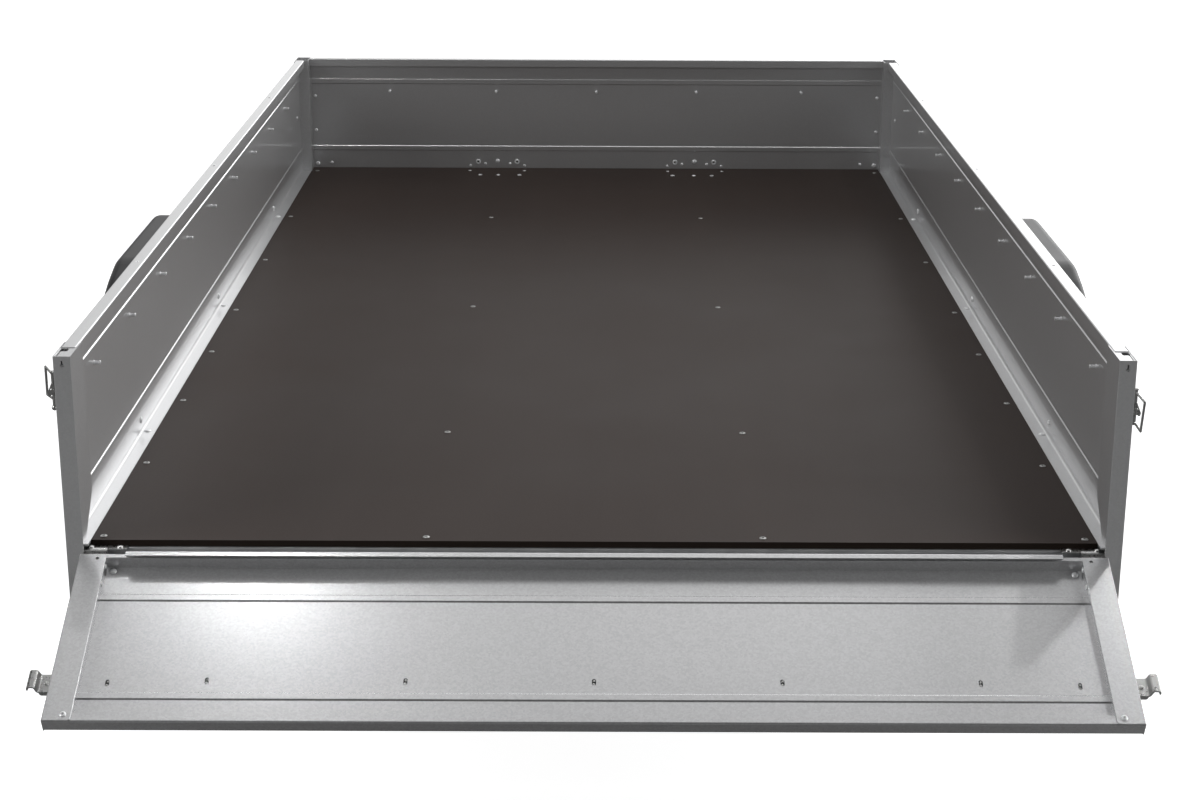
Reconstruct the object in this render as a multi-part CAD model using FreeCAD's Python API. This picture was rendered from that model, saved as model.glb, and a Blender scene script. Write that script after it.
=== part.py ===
import FreeCAD, Part
import math
import os

V = FreeCAD.Vector
os.makedirs("parts", exist_ok=True)

# ---------------------------------------------------------------------------
# Single-axle flat-bed utility trailer, sheet-steel box with a drop tailgate.
# Millimetres.  +Y is the direction of travel, +Z is up, X is across.
# All heights below are given from the top of the floor panel (z = 0 there) and
# all lengths from the rear face of the rear posts (y = 0 there); the whole model
# is moved to the ground at the end, so that z = 0 is what the tyres stand on.
# ---------------------------------------------------------------------------
DECK = 500.0          # top of floor panel above the ground
Y_MID = 2093.75        # middle of the whole trailer's length, measured from the posts

# load box
HALF_W = 945.0        # outer half width over the corner posts
BOX_L = 3330.0        # outer length of the box
SIDE_H = 350.0        # height of the sides over the floor
SKIN = 2.0            # sheet thickness of walls and gate
POST_T = 1.5          # sheet thickness of corner posts
RAIL_OUT = 943.5      # outer face of top rail
RAIL_IN = 917.0       # inner face of top rail
RAIL_LIP = 22.5       # height of the rail's inner lip
WALL_IN = 934.5       # inner face of the wall sheet
FLANGE_IN = 905.5     # inner edge of the wall's floor flange
BEAD_LOW = 64.0       # height of the lower pressed bead
BEAD_HIGH = 286.5     # height of the upper pressed bead
BEAD_W = 17.0
BEAD_RUN = 2.4        # height of a bead's flank
FRONT_BEADS = (63.5, 277.0)
FOOT_R = 6.0          # inner bend between a side wall and its floor flange
BEAD_D = 2.0
POST_FLANGE = 94.0    # length of the rear posts' flanges along the side
POST_BACK = 60.0      # open length of a post behind or ahead of the rail's end
FRONT_POST_IN = 904.0 # inner face of the front posts
SKIRT = 110.0         # how far sills and rear posts reach below the floor

# floor
PLY_T = 12.0
PLY_HALF = 905.0
PLY_Y0, PLY_Y1 = 23.0, 3319.0

# tailgate
GATE_H = 379.0
GATE_HALF = 917.5
GATE_T = 26.5
GATE_RAIL = 48.5
GATE_OPEN = 115.0     # degrees from closed; the gate is drawn open
GATE_CORNER = (-15.0, -12.7)   # inner lower corner of the open gate (y, z)
PIN_D, PIN_T = 8.6, 3.4       # hinge pin: depth from inner face, height from lower edge
PIN_R = 3.5
# the gate's lower edge: a wall up from the panel, a narrow step and a lip that lies in
# the crossmember's rebate when the gate is shut (depths from the inner face, heights t)
WALL_T, STEP_D, LIP_D, LIP_T, LIP_END = 16.0, -6.8, -16.0, (6.6, 18.0), 832.0
GATE_SLOTS = ((-825.0, 283.0), (-657.0, 277.5), (-320.0, 277.5), (0.0, 277.5), (320.0, 277.5), (657.0, 277.5), (825.0, 283.0))

# frame
CROSS_Y = (641.0, 1626.0, 2610.0)
CROSS_H, CROSS_W, CROSS_T = 80.0, 40.0, 3.0
ARM_W, ARM_H = 40.0, 60.0
SILL_Y, SILL_BEND = 1.0, 9.0  # rear face of the rear crossmember and its upper bend
REBATE = (15.5, -24.5)        # riser and ledge of its rebate (y, z)
HINGE_IN = 873.0              # the rebate ends here, where the hinges begin
ARM_X_FRONT = 315.0   # drawbar arm's centre where it crosses the front wall
ARM_TIP_Y, ARM_TIP_X = 4400.0, 30.0
ARM_REAR_Y = 1560.0

# running gear
AXLE_Y, AXLE_Z = 1776.0, -192.0
AXLE_SQ = 70.0
WHEEL_Y = 1622.0
TYRE_R = 298.0
TYRE_W = 167.0
TRACK_HALF = 1045.0
RIM_R = 172.0

# jockey wheel
JOCK_Y = 4135.0
JOCK_TRAIL = 45.0
JOCK_R = 100.0
FIT = 0.05            # radial clearance of shafts that turn or slide

RUN = {}


def box(x0, x1, y0, y1, z0, z1):
    return Part.makeBox(x1 - x0, y1 - y0, z1 - z0, V(x0, y0, z0))


def cyl(r, h, base, axis):
    return Part.makeCylinder(r, h, V(*base), V(*axis))


def prism_y(pts, y0, y1):
    """pts are (x, z) corners, drawn out from y0 to y1."""
    w = Part.makePolygon([V(x, y0, z) for x, z in pts] + [V(pts[0][0], y0, pts[0][1])])
    return Part.Face(w).extrude(V(0, y1 - y0, 0))


def prism_x(pts, x0, x1):
    """pts are (y, z) corners, drawn out from x0 to x1."""
    w = Part.makePolygon([V(x0, y, z) for y, z in pts] + [V(x0, pts[0][0], pts[0][1])])
    return Part.Face(w).extrude(V(x1 - x0, 0, 0))


def prism_z(pts, z0, z1):
    w = Part.makePolygon([V(x, y, z0) for x, y in pts] + [V(pts[0][0], pts[0][1], z0)])
    return Part.Face(w).extrude(V(0, 0, z1 - z0))


def join(shapes):
    s = shapes[0].fuse(shapes[1:]) if len(shapes) > 1 else shapes[0]
    return s.removeSplitter()


def mirror(s):
    return s.mirror(V(0, 0, 0), V(1, 0, 0))


def rounded(pts, radii):
    """Closed outline through pts with the corners rounded; returns a wire in 2-D (u, v)."""
    n = len(pts)
    cur = []
    for i in range(n):
        p, a, b = pts[i], pts[i - 1], pts[(i + 1) % n]
        r = radii[i] if isinstance(radii, (list, tuple)) else radii
        va = ((a[0] - p[0]), (a[1] - p[1]))
        vb = ((b[0] - p[0]), (b[1] - p[1]))
        la, lb = math.hypot(*va), math.hypot(*vb)
        ua, ub = (va[0] / la, va[1] / la), (vb[0] / lb, vb[1] / lb)
        c = max(-1.0, min(1.0, ua[0] * ub[0] + ua[1] * ub[1]))
        ang = math.acos(c)
        if r <= 0 or ang > math.pi - 0.02:
            cur.append((p, None, p))
            continue
        d = r / math.tan(ang / 2)
        s = (p[0] + ua[0] * d, p[1] + ua[1] * d)
        e = (p[0] + ub[0] * d, p[1] + ub[1] * d)
        bis = (ua[0] + ub[0], ua[1] + ub[1])
        lbis = math.hypot(*bis)
        h = r / math.sin(ang / 2)
        cc = (p[0] + bis[0] / lbis * h, p[1] + bis[1] / lbis * h)
        m = (cc[0] - bis[0] / lbis * r, cc[1] - bis[1] / lbis * r)
        cur.append((s, m, e))
    return cur


def face_from(cur, put):
    """cur from rounded(); put maps (u, v) to a point."""
    edges = []
    n = len(cur)
    for i in range(n):
        s, m, e = cur[i]
        if m is not None:
            edges.append(Part.Arc(put(*s), put(*m), put(*e)).toShape())
        nxt = cur[(i + 1) % n][0]
        if math.hypot(nxt[0] - e[0], nxt[1] - e[1]) > 1e-6:
            edges.append(Part.LineSegment(put(*e), put(*nxt)).toShape())
    return Part.Face(Part.Wire(edges))


def rprism_y(pts, radii, y0, y1):
    f = face_from(rounded(pts, radii), lambda u, v: V(u, y0, v))
    return f.extrude(V(0, y1 - y0, 0))


def rprism_x(pts, radii, x0, x1):
    f = face_from(rounded(pts, radii), lambda u, v: V(x0, u, v))
    return f.extrude(V(x1 - x0, 0, 0))


def rprism_z(pts, radii, z0, z1):
    f = face_from(rounded(pts, radii), lambda u, v: V(u, v, z0))
    return f.extrude(V(0, 0, z1 - z0))


def export(name, shape):
    s = shape.copy()
    s.translate(V(0, -Y_MID, DECK))
    RUN[name] = s


# ---------------------------------------------------------------------------
# Wall section: one pressed sheet with two beads, a box rail along its top edge
# and a floor flange along its bottom edge.  u runs outwards, v upwards.
# ---------------------------------------------------------------------------
def wall_section(flange, bottom, beads=(BEAD_LOW, BEAD_HIGH)):
    """Outline of the sheet as (u, v); u = 0 is the inner face of the rail lip."""
    i0 = WALL_IN - RAIL_IN                  # inner face of the sheet
    o0 = i0 + SKIN
    out = RAIL_OUT - RAIL_IN
    h = BEAD_W / 2

    def bead(zc):
        return [(0, zc - h), (-BEAD_D, zc - h + BEAD_RUN), (-BEAD_D, zc + h - BEAD_RUN), (0, zc + h)]
    inner, outer = [], []
    for zc in beads:
        inner += [(i0 + a, b) for a, b in bead(zc)]
        outer += [(o0 + a, b) for a, b in bead(zc)]
    pts = []
    rad = []

    def add(p, r=0.0):
        pts.append(p)
        rad.append(r)
    fl = FLANGE_IN - RAIL_IN
    if flange:
        add((fl, -SKIN))
        add((fl, 0.0))
        add((i0, 0.0), FOOT_R)
    else:
        add((i0, bottom))
    for p in inner:
        add(p, 1.0)
    add((i0, SIDE_H - SKIN), 1.2)
    add((SKIN, SIDE_H - SKIN), 1.0)
    add((SKIN, SIDE_H - RAIL_LIP))
    add((0.0, SIDE_H - RAIL_LIP))
    add((0.0, SIDE_H), 3.0)
    add((out, SIDE_H), 3.0)
    add((out, SIDE_H - 30.0), 2.0)
    add((o0, SIDE_H - 30.0), 1.0)
    for p in reversed(outer):
        add(p, 1.0)
    if flange:
        add((o0, -SKIN), FOOT_R + SKIN)
    else:
        add((o0, bottom))
    return pts, rad


def side_wall():
    pts, rad = wall_section(True, 0)
    pts = [(RAIL_IN + u, v) for u, v in pts]
    w = rprism_y(pts, rad, 2.0, BOX_L - POST_BACK - 2.5)
    # the rail stops short inside the rear post, where an end plate closes it
    w = w.cut(box(RAIL_IN - 5, HALF_W + 5, 0, POST_BACK - 1.5, SIDE_H - 45, SIDE_H + 5))
    end = box(RAIL_IN + 0.3, RAIL_OUT, POST_BACK - 1.5, POST_BACK, SIDE_H - 32, SIDE_H - 0.5)
    end = end.cut(rprism_y([(927.5, SIDE_H - 10), (941.5, SIDE_H - 10), (941.5, SIDE_H - 3), (927.5, SIDE_H - 3)], 3.4, POST_BACK - 5, POST_BACK + 5))
    end = end.cut(box(939.3, 941.3, POST_BACK - 5, POST_BACK + 5, SIDE_H - 18, SIDE_H - 6))
    return join([w, end])


right_wall = side_wall()
export("right_side_wall", right_wall)
export("left_side_wall", mirror(right_wall))

pts, rad = wall_section(False, -78.0, FRONT_BEADS)
pts = [(BOX_L - (RAIL_OUT - RAIL_IN) + u, v) for u, v in pts]
front_wall = rprism_x(pts, rad, -(FRONT_POST_IN - 0.1), FRONT_POST_IN - 0.1)
export("front_wall", front_wall)

# ---------------------------------------------------------------------------
# Corner posts
# ---------------------------------------------------------------------------
def rear_post():
    x0, x1 = HALF_W - 31.0, HALF_W
    web = box(x0, x1, 0, POST_T, -SKIRT, SIDE_H)
    f = POST_FLANGE
    outer = box(x1 - POST_T, x1, 0, f, -SKIRT, SIDE_H)
    inner = prism_x([(0, 0), (24, 0), (f, 70), (f, SIDE_H), (0, SIDE_H)], x0, x0 + POST_T)
    # a plate closes the top, with a rounded slot towards the outer side
    cap = box(x0 + POST_T / 2, x1 - POST_T / 2, POST_T / 2, POST_BACK - 1.7, SIDE_H - 3.0, SIDE_H - 1.4)
    ys = POST_BACK - 23.0
    cap = cap.cut(rprism_z([(927.5, ys), (941.5, ys), (941.5, ys + 18), (927.5, ys + 18)], 3.4, SIDE_H - 6, SIDE_H + 1))
    cap = cap.cut(box(938.4, 940.4, 6.0, ys + 4, SIDE_H - 6, SIDE_H + 1))
    p = join([web, outer, inner, cap])
    # keyhole in the rear face near the top
    xm = (x0 + x1) / 2
    p = p.cut(cyl(3.0, 6, (xm, -1, SIDE_H - 17), (0, 1, 0)))
    p = p.cut(box(xm - 1.6, xm + 1.6, -1, 3, SIDE_H - 17, SIDE_H - 8))
    edges = [e for e in p.Edges if abs(e.BoundBox.ZLength - e.Length) < 1e-6 and e.Length > 300
             and e.BoundBox.YMax < 0.01 and (abs(e.BoundBox.XMin - x0) < 0.01 or abs(e.BoundBox.XMin - x1) < 0.01)]
    if edges:
        p = p.makeFillet(1.3, edges)
    return p


rp = rear_post()
export("right_rear_post", rp)
export("left_rear_post", mirror(rp))


def front_post():
    # an upright box, open at the top, with a flange round the outside of each wall
    x0, x1, y0, y1 = FRONT_POST_IN, HALF_W, BOX_L - POST_BACK - 2.0, BOX_L
    t = POST_T
    o = box(x0, x1, y0, y1, -SKIRT, SIDE_H)
    vert = [e for e in o.Edges if e.Length > 300 and e.BoundBox.YMin > y1 - 0.1 and e.BoundBox.XMin > x1 - 0.1]
    o = o.makeFillet(3.0, vert)
    o = o.cut(box(x0 + t, x1 - t, y0 + t, y1 - t, -SKIRT - 1, SIDE_H + 1))
    s = [o,
         box(x0 + t / 2, x1 - t / 2, y0 + t / 2, y1 - t / 2, SIDE_H - 40, SIDE_H - 40 + t),
         box(x1 - t, x1, BOX_L - POST_FLANGE, y0 + 5, -SKIRT, SIDE_H),
         box(x0 - 34, x0 + 1, y1 - 7.0, y1 - 5.5, -78, SIDE_H - 32.0)]
    return join(s)


fp = front_post()
export("front_posts", Part.makeCompound([fp, mirror(fp)]))

# ---------------------------------------------------------------------------
# Floor panel and frame
# ---------------------------------------------------------------------------
yn = BOX_L - POST_BACK - 3.0
xn = FRONT_POST_IN - 0.5
floor = rprism_z([(-PLY_HALF, PLY_Y0), (PLY_HALF, PLY_Y0), (PLY_HALF, yn), (xn, yn), (xn, PLY_Y1),
                  (-xn, PLY_Y1), (-xn, yn), (-PLY_HALF, yn)], 0.0, -PLY_T, 0.0)
export("floor_panel", floor)


def sill():
    y1 = BOX_L - POST_BACK - 2.2
    s = [box(941.0, 943.5, 2, y1, -SKIRT, -2),
         box(FLANGE_IN, 943.5, 2, y1, -4.5, -2),
         box(FLANGE_IN, 943.5, 2, y1, -SKIRT, -SKIRT + 2.5)]
    return join(s)


sl = sill()
export("right_side_sill", sl)
export("left_side_sill", mirror(sl))


def channel(y0, y1, web_at_rear, x=940.9):
    zt, zb = -PLY_T, -PLY_T - CROSS_H
    wy = (y0, y0 + CROSS_T) if web_at_rear else (y1 - CROSS_T, y1)
    return join([box(-x, x, wy[0], wy[1], zb, zt),
                 box(-x, x, y0, y1, zt - CROSS_T, zt),
                 box(-x, x, y0, y1, zb, zb + CROSS_T)])


export("crossmembers", Part.makeCompound([channel(y - CROSS_W / 2, y + CROSS_W / 2, True) for y in CROSS_Y]))


def rear_channel():
    # folded section with a rebate along its upper rear edge, which takes the gate's lip
    # when the gate is shut; plain ends carry the hinges
    y0, y1, zt, zb = SILL_Y, 55.0, -PLY_T, -PLY_T - CROSS_H
    t = CROSS_T
    yr, zr = REBATE
    pts = [(y0, zb), (y1, zb), (y1, zb + t), (y0 + t, zb + t), (y0 + t, zr - t), (yr + t, zr - t), (yr + t, zt - t), (y1, zt - t),
           (y1, zt), (yr, zt), (yr, zr), (y0, zr)]
    mid = rprism_x(pts, [4.0, 0.0, 0.0, 1.0, 1.0, 4.0, 1.0, 0.0, 0.0, 4.0, 1.0, 4.0], -HINGE_IN, HINGE_IN)
    pts = [(y0, zb), (y1, zb), (y1, zb + t), (y0 + t, zb + t), (y0 + t, zt - t), (y1, zt - t), (y1, zt), (y0, zt)]
    end = rprism_x(pts, [4.0, 0.0, 0.0, 1.0, SILL_BEND - t, 0.0, 0.0, SILL_BEND], HINGE_IN, 913.6)
    # closing plate where the rebate ends
    cap = prism_x([(y0 + 1.0, zr - t), (yr + t, zr - t), (yr + t, zt - 0.5), (y0 + SILL_BEND, zt - 0.5), (y0 + 1.0, zt - SILL_BEND)], HINGE_IN, HINGE_IN + 3.0)
    end = join([end, cap])
    return join([mid, end, mirror(end)])


export("rear_crossmember", rear_channel())
fy = BOX_L - (RAIL_OUT - WALL_IN)
export("front_crossmember", channel(fy - 45.0, fy, False, FRONT_POST_IN - 0.1))

# drawbar arms: straight box sections that run under the crossmembers from the
# axle to the coupling
slope = (ARM_X_FRONT - ARM_TIP_X) / (ARM_TIP_Y - BOX_L)
ARM_TOP = -PLY_T - CROSS_H
ARM_BOT = ARM_TOP - ARM_H


def arm_x(y):
    return ARM_TIP_X + (ARM_TIP_Y - y) * slope


def arm():
    ya, yb = ARM_REAR_Y, ARM_TIP_Y
    hw = ARM_W / 2 * math.sqrt(1 + slope * slope)

    def outline(inset):
        return [(arm_x(ya) - hw + inset, ya), (arm_x(yb) - hw + inset, yb),
                (arm_x(yb) + hw - inset, yb), (arm_x(ya) + hw - inset, ya)]
    o = prism_z(outline(0), ARM_BOT, ARM_TOP)
    vert = [e for e in o.Edges if e.Length > 1000]
    o = o.makeFillet(4.0, vert)
    i = prism_z(outline(3.5), ARM_BOT + 3.5, ARM_TOP - 3.5)
    i = i.common(box(-1000, 1000, ya - 1, yb - 3, -400, 0))
    return o.cut(i)


ra = arm()
export("right_drawbar_arm", ra)
export("left_drawbar_arm", mirror(ra))


# brackets that join each arm to the front wall and front crossmember
def drawbar_bracket():
    c = arm_x(BOX_L + 20)
    yw = fy + SKIN
    s = [rprism_y([(ARM_X_FRONT - 100, ARM_TOP), (ARM_X_FRONT + 100, ARM_TOP), (ARM_X_FRONT + 100, 38), (ARM_X_FRONT - 100, 38)],
                  [0.0, 0.0, 8.0, 8.0], yw, yw + 5),
         box(c - 45, c + 45, yw, yw + 90, ARM_TOP, ARM_TOP + 5),
         prism_x([(yw, ARM_TOP), (yw + 90, ARM_TOP), (yw + 90, ARM_TOP + 8), (yw + 8, -10), (yw, -10)], c - 45, c - 40),
         prism_x([(yw, ARM_TOP), (yw + 90, ARM_TOP), (yw + 90, ARM_TOP + 8), (yw + 8, -10), (yw, -10)], c + 40, c + 45)]
    return join(s)


db = drawbar_bracket()
export("drawbar_brackets", Part.makeCompound([db, mirror(db)]))

# cross plate between the arms, which carries the jockey wheel's clamp
px_in = arm_x(JOCK_Y) - ARM_W / 2
plate_top = ARM_TOP + 6
plate = rprism_z([(-arm_x(JOCK_Y + 70) - 12, JOCK_Y + 70), (arm_x(JOCK_Y + 70) + 12, JOCK_Y + 70),
                  (arm_x(JOCK_Y - 80) + 12, JOCK_Y - 80), (-arm_x(JOCK_Y - 80) - 12, JOCK_Y - 80)], 6.0, ARM_TOP, plate_top)
plate = plate.cut(cyl(27.0, 20, (0, JOCK_Y, ARM_TOP - 5), (0, 0, 1)))
export("drawbar_plate", plate)

# ---------------------------------------------------------------------------
# Axle: square beam, brackets under the arms, trailing swing arms with stubs
# ---------------------------------------------------------------------------
h = AXLE_SQ / 2
beam = rprism_x([(AXLE_Y - h, AXLE_Z - h), (AXLE_Y + h, AXLE_Z - h), (AXLE_Y + h, AXLE_Z + h), (AXLE_Y - h, AXLE_Z + h)], 8.0, -790, 790)
beam = beam.cut(rprism_x([(AXLE_Y - h + 5, AXLE_Z - h + 5), (AXLE_Y + h - 5, AXLE_Z - h + 5), (AXLE_Y + h - 5, AXLE_Z + h - 5), (AXLE_Y - h + 5, AXLE_Z + h - 5)], 3.0, -791, 791))
export("axle_beam", beam)


def axle_bracket():
    c = arm_x(AXLE_Y)
    top, bot = ARM_BOT, AXLE_Z + h
    s = [box(c - 60, c + 60, AXLE_Y - 75, AXLE_Y + 75, bot, top)] if top - bot > 0.5 else []
    s += [box(c - 60, c - 54, AXLE_Y - 75, AXLE_Y - h - 0.0, bot - 45, bot + 0.01),
          box(c + 54, c + 60, AXLE_Y - 75, AXLE_Y - h, bot - 45, bot + 0.01),
          box(c - 60, c - 54, AXLE_Y + h, AXLE_Y + 75, bot - 45, bot + 0.01),
          box(c + 54, c + 60, AXLE_Y + h, AXLE_Y + 75, bot - 45, bot + 0.01)]
    return join(s)


ab = axle_bracket()
export("axle_brackets", Part.makeCompound([ab, mirror(ab)]))

HUB_Z = TYRE_R - DECK


def swing_arm():
    L = math.hypot(AXLE_Y - WHEEL_Y, AXLE_Z - HUB_Z)
    ang = math.atan2(HUB_Z - AXLE_Z, WHEEL_Y - AXLE_Y)
    # forged arm: a tapered bar between two round eyes
    a = cyl(38, 30, (802, AXLE_Y, AXLE_Z), (1, 0, 0))
    b = cyl(30, 30, (802, WHEEL_Y, HUB_Z), (1, 0, 0))
    nx, nz = -math.sin(ang), math.cos(ang)
    quad = [(AXLE_Y + nx * 36, AXLE_Z + nz * 36), (WHEEL_Y + nx * 28, HUB_Z + nz * 28),
            (WHEEL_Y - nx * 28, HUB_Z - nz * 28), (AXLE_Y - nx * 36, AXLE_Z - nz * 36)]
    c = prism_x(quad, 805, 829)
    core = cyl(26, 14, (788.5, AXLE_Y, AXLE_Z), (1, 0, 0))
    root = Part.makeCone(24, 19, 50, V(832, WHEEL_Y, HUB_Z), V(1, 0, 0))
    stub = cyl(17.5, 1066 - 882, (882, WHEEL_Y, HUB_Z), (1, 0, 0))
    q = AXLE_SQ / 2 - 5.0
    core2 = rprism_x([(AXLE_Y - q, AXLE_Z - q), (AXLE_Y + q, AXLE_Z - q), (AXLE_Y + q, AXLE_Z + q), (AXLE_Y - q, AXLE_Z + q)], 3.0, 740, 790)
    return join([a, b, c, core, core2, root, stub])


sa = swing_arm()
export("swing_arms", Part.makeCompound([sa, mirror(sa)]))

# ---------------------------------------------------------------------------
# Wheels.  Lathe sections (x, r) turned about the wheel's axis.
# ---------------------------------------------------------------------------
def lathe_x(pts, y, z):
    w = Part.makePolygon([V(x, y, z + r) for x, r in pts] + [V(pts[0][0], y, z + pts[0][1])])
    return Part.Face(w).revolve(V(0, y, z), V(1, 0, 0), 360)


def lathe_x_round(pts, radii, y, z):
    f = face_from(rounded(pts, radii), lambda u, v: V(u, y, z + v))
    return f.revolve(V(0, y, z), V(1, 0, 0), 360)


T = TRACK_HALF
W2 = TYRE_W / 2
tyre = lathe_x_round([(T - 63.9, RIM_R), (T + 63.9, RIM_R), (T + 63.9, RIM_R + 2), (T + 68.2, RIM_R + 12.3), (T + 77, RIM_R + 24), (T + W2, 235), (T + 74, 280), (T + 60, TYRE_R),
                      (T - 60, TYRE_R), (T - 74, 280), (T - W2, 235), (T - 77, RIM_R + 24), (T - 68.2, RIM_R + 12.3), (T - 63.9, RIM_R + 2)],
                     [0, 0, 0, 0, 12, 45, 14, 14, 14, 14, 45, 12, 0, 0], WHEEL_Y, HUB_Z)
export("right_tyre", tyre)
export("left_tyre", mirror(tyre))

D = T + 30.0          # wheel's mounting face
rim_sec = [(T - 72, RIM_R + 9), (T - 72, RIM_R + 12), (T - 69, RIM_R + 12), (T - 64.5, RIM_R + 2), (T - 64.5, RIM_R - 0.3),
           (T - 30, RIM_R - 0.3), (T - 22, RIM_R - 17), (T + 18, RIM_R - 17), (T + 28, RIM_R - 0.3), (T + 64.5, RIM_R - 0.3),
           (T + 64.5, RIM_R + 2), (T + 69, RIM_R + 12), (T + 72, RIM_R + 12), (T + 72, RIM_R + 9), (T + 68, RIM_R - 3.5),
           (T + 29, RIM_R - 3.5), (T + 19, RIM_R - 20.5), (T - 23, RIM_R - 20.5), (T - 32, RIM_R - 3.5), (T - 68, RIM_R - 3.5)]
rim_barrel = lathe_x(rim_sec, WHEEL_Y, HUB_Z)
# pressed disc: flat in the middle, dished outwards, with round openings
disc_sec = [(D, 33), (D, 72), (D + 12, 92), (D + 12, 112), (D - 6, 138), (T + 12, RIM_R - 18.5), (T + 7.5, RIM_R - 18.5),
            (D - 11, 134), (D + 7.5, 110), (D + 7.5, 94), (D - 4.5, 74), (D - 4.5, 33)]
disc_sec = [(x + 4.5, r) for x, r in disc_sec]
disc = lathe_x_round(disc_sec, [0, 4, 5, 5, 6, 0, 0, 4, 4, 4, 4, 0], WHEEL_Y, HUB_Z)
for k in range(8):
    a = math.radians(22.5 + 45 * k)
    disc = disc.cut(cyl(12.5, 80, (D - 40, WHEEL_Y + 122 * math.cos(a), HUB_Z + 122 * math.sin(a)), (1, 0, 0)))
for k in range(4):
    a = math.radians(45 + 90 * k)
    disc = disc.cut(cyl(7.3, 80, (D - 40, WHEEL_Y + 50 * math.cos(a), HUB_Z + 50 * math.sin(a)), (1, 0, 0)))
rim = join([rim_barrel, disc])
export("right_rim", rim)
export("left_rim", mirror(rim))

hub_sec = [(1000, 17.5 + FIT), (D - 7, 17.5 + FIT), (D - 7, 0), (D + 34, 0), (D + 34, 24), (D + 30, 27.5), (D + 6, 27.5),
           (D + 6, 31.5), (D, 31.5), (D, 70), (D - 9, 70), (D - 9, 42), (1000, 38)]
hub = lathe_x_round(hub_sec, [0, 0, 0, 0, 3, 3, 0, 1, 0, 2, 2, 3, 2], WHEEL_Y, HUB_Z)
studs = []
for k in range(4):
    a = math.radians(45 + 90 * k)
    studs.append(cyl(6.0, 26, (D - 8, WHEEL_Y + 50 * math.cos(a), HUB_Z + 50 * math.sin(a)), (1, 0, 0)))
    hexa = [(WHEEL_Y + 50 * math.cos(a) + 10.2 * math.cos(math.radians(60 * j)), HUB_Z + 50 * math.sin(a) + 10.2 * math.sin(math.radians(60 * j))) for j in range(6)]
    studs.append(prism_x(hexa, D + 4.6, D + 15))
hub = join([hub] + studs)
export("right_hub", hub)
export("left_hub", mirror(hub))

# ---------------------------------------------------------------------------
# Mudguards: moulded shells with a flat top, a rounded outer edge and a lip
# ---------------------------------------------------------------------------
G_TOP, G_X0, G_X1, G_T = 177.0, 955.0, 1135.0, 4.0


def guard_outline(off, drop):
    half = [(0, G_TOP - off), (235 - off * 0.1, G_TOP - off), (320 - off * 0.35, 155 - off), (402 - off * 0.6, 124 - off * 0.75),
            (438 - off * 0.95, 84 - off * 0.2), (447 - off, 20), (447 - off, drop)]
    r = [(WHEEL_Y + a, b) for a, b in half[1:]]
    l = [(WHEEL_Y - a, b) for a, b in reversed(half[1:])]
    return r + l


def guard():
    rad = [180, 160, 70, 60, 0, 0, 0, 0, 60, 70, 160, 180]
    outer = rprism_x(guard_outline(0, -70.0), rad, G_X0, G_X1)
    top_edges = [e for e in outer.Edges if e.BoundBox.XMin > G_X1 - 0.1 and e.BoundBox.ZMax > -69.0]
    outer = outer.makeFillet(20.0, top_edges)
    inner = rprism_x(guard_outline(G_T, -80.0), [176, 156, 66, 56, 0, 0, 0, 0, 56, 66, 156, 176], G_X0 - 1, G_X1 - G_T)
    in_edges = [e for e in inner.Edges if e.BoundBox.XMin > G_X1 - G_T - 0.1 and e.BoundBox.ZMax > -79.0]
    inner = inner.makeFillet(16.0, in_edges)
    opening = rprism_x(guard_outline(46.0, -90.0), [120, 110, 40, 30, 0, 0, 0, 0, 30, 40, 110, 120], G_X1 - 30, G_X1 + 10)
    return outer.cut(inner).cut(opening)


mg = guard()
export("right_mudguard", mg)
export("left_mudguard", mirror(mg))


def guard_brackets():
    out = []
    for dy in (-170.0, 170.0):
        y = WHEEL_Y + dy
        out.append(join([box(943.5, 948.5, y - 18, y + 18, -104, G_TOP - G_T),
                         box(943.5, 1100, y - 18, y + 18, G_TOP - G_T - 5, G_TOP - G_T),
                         prism_x([(y - 2.5, 0), (y + 2.5, 0), (y + 2.5, 1), (y - 2.5, 1)], 943.5, 948.5)]))
        rib = Part.Face(Part.makePolygon([V(948.5, y - 2.5, G_TOP - G_T - 5), V(1040, y - 2.5, G_TOP - G_T - 5), V(948.5, y - 2.5, G_TOP - G_T - 70), V(948.5, y - 2.5, G_TOP - G_T - 5)])).extrude(V(0, 5, 0))
        out[-1] = join([out[-1], rib])
    return out


gb = guard_brackets()
export("mudguard_brackets", Part.makeCompound(gb + [mirror(g) for g in gb]))

# ---------------------------------------------------------------------------
# Tailgate.  Drawn in its own plane: t runs from the lower edge to the top edge,
# d from the inner face outwards; then laid into the open position.
# ---------------------------------------------------------------------------
th = math.radians(GATE_OPEN)
GU = (-math.sin(th), math.cos(th))     # direction of t (y, z)
GW = (-math.cos(th), -math.sin(th))    # direction of d (y, z)


def gate_place(s):
    """s is drawn closed: inner face at y = 0 facing +y, outer face at y = -d, z = t."""
    s = s.copy()
    # turn about X at the inner lower corner, then shift the corner to its place
    s.rotate(V(0, 0, 0), V(1, 0, 0), GATE_OPEN)
    s.translate(V(0, GATE_CORNER[0], GATE_CORNER[1]))
    return s


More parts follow.
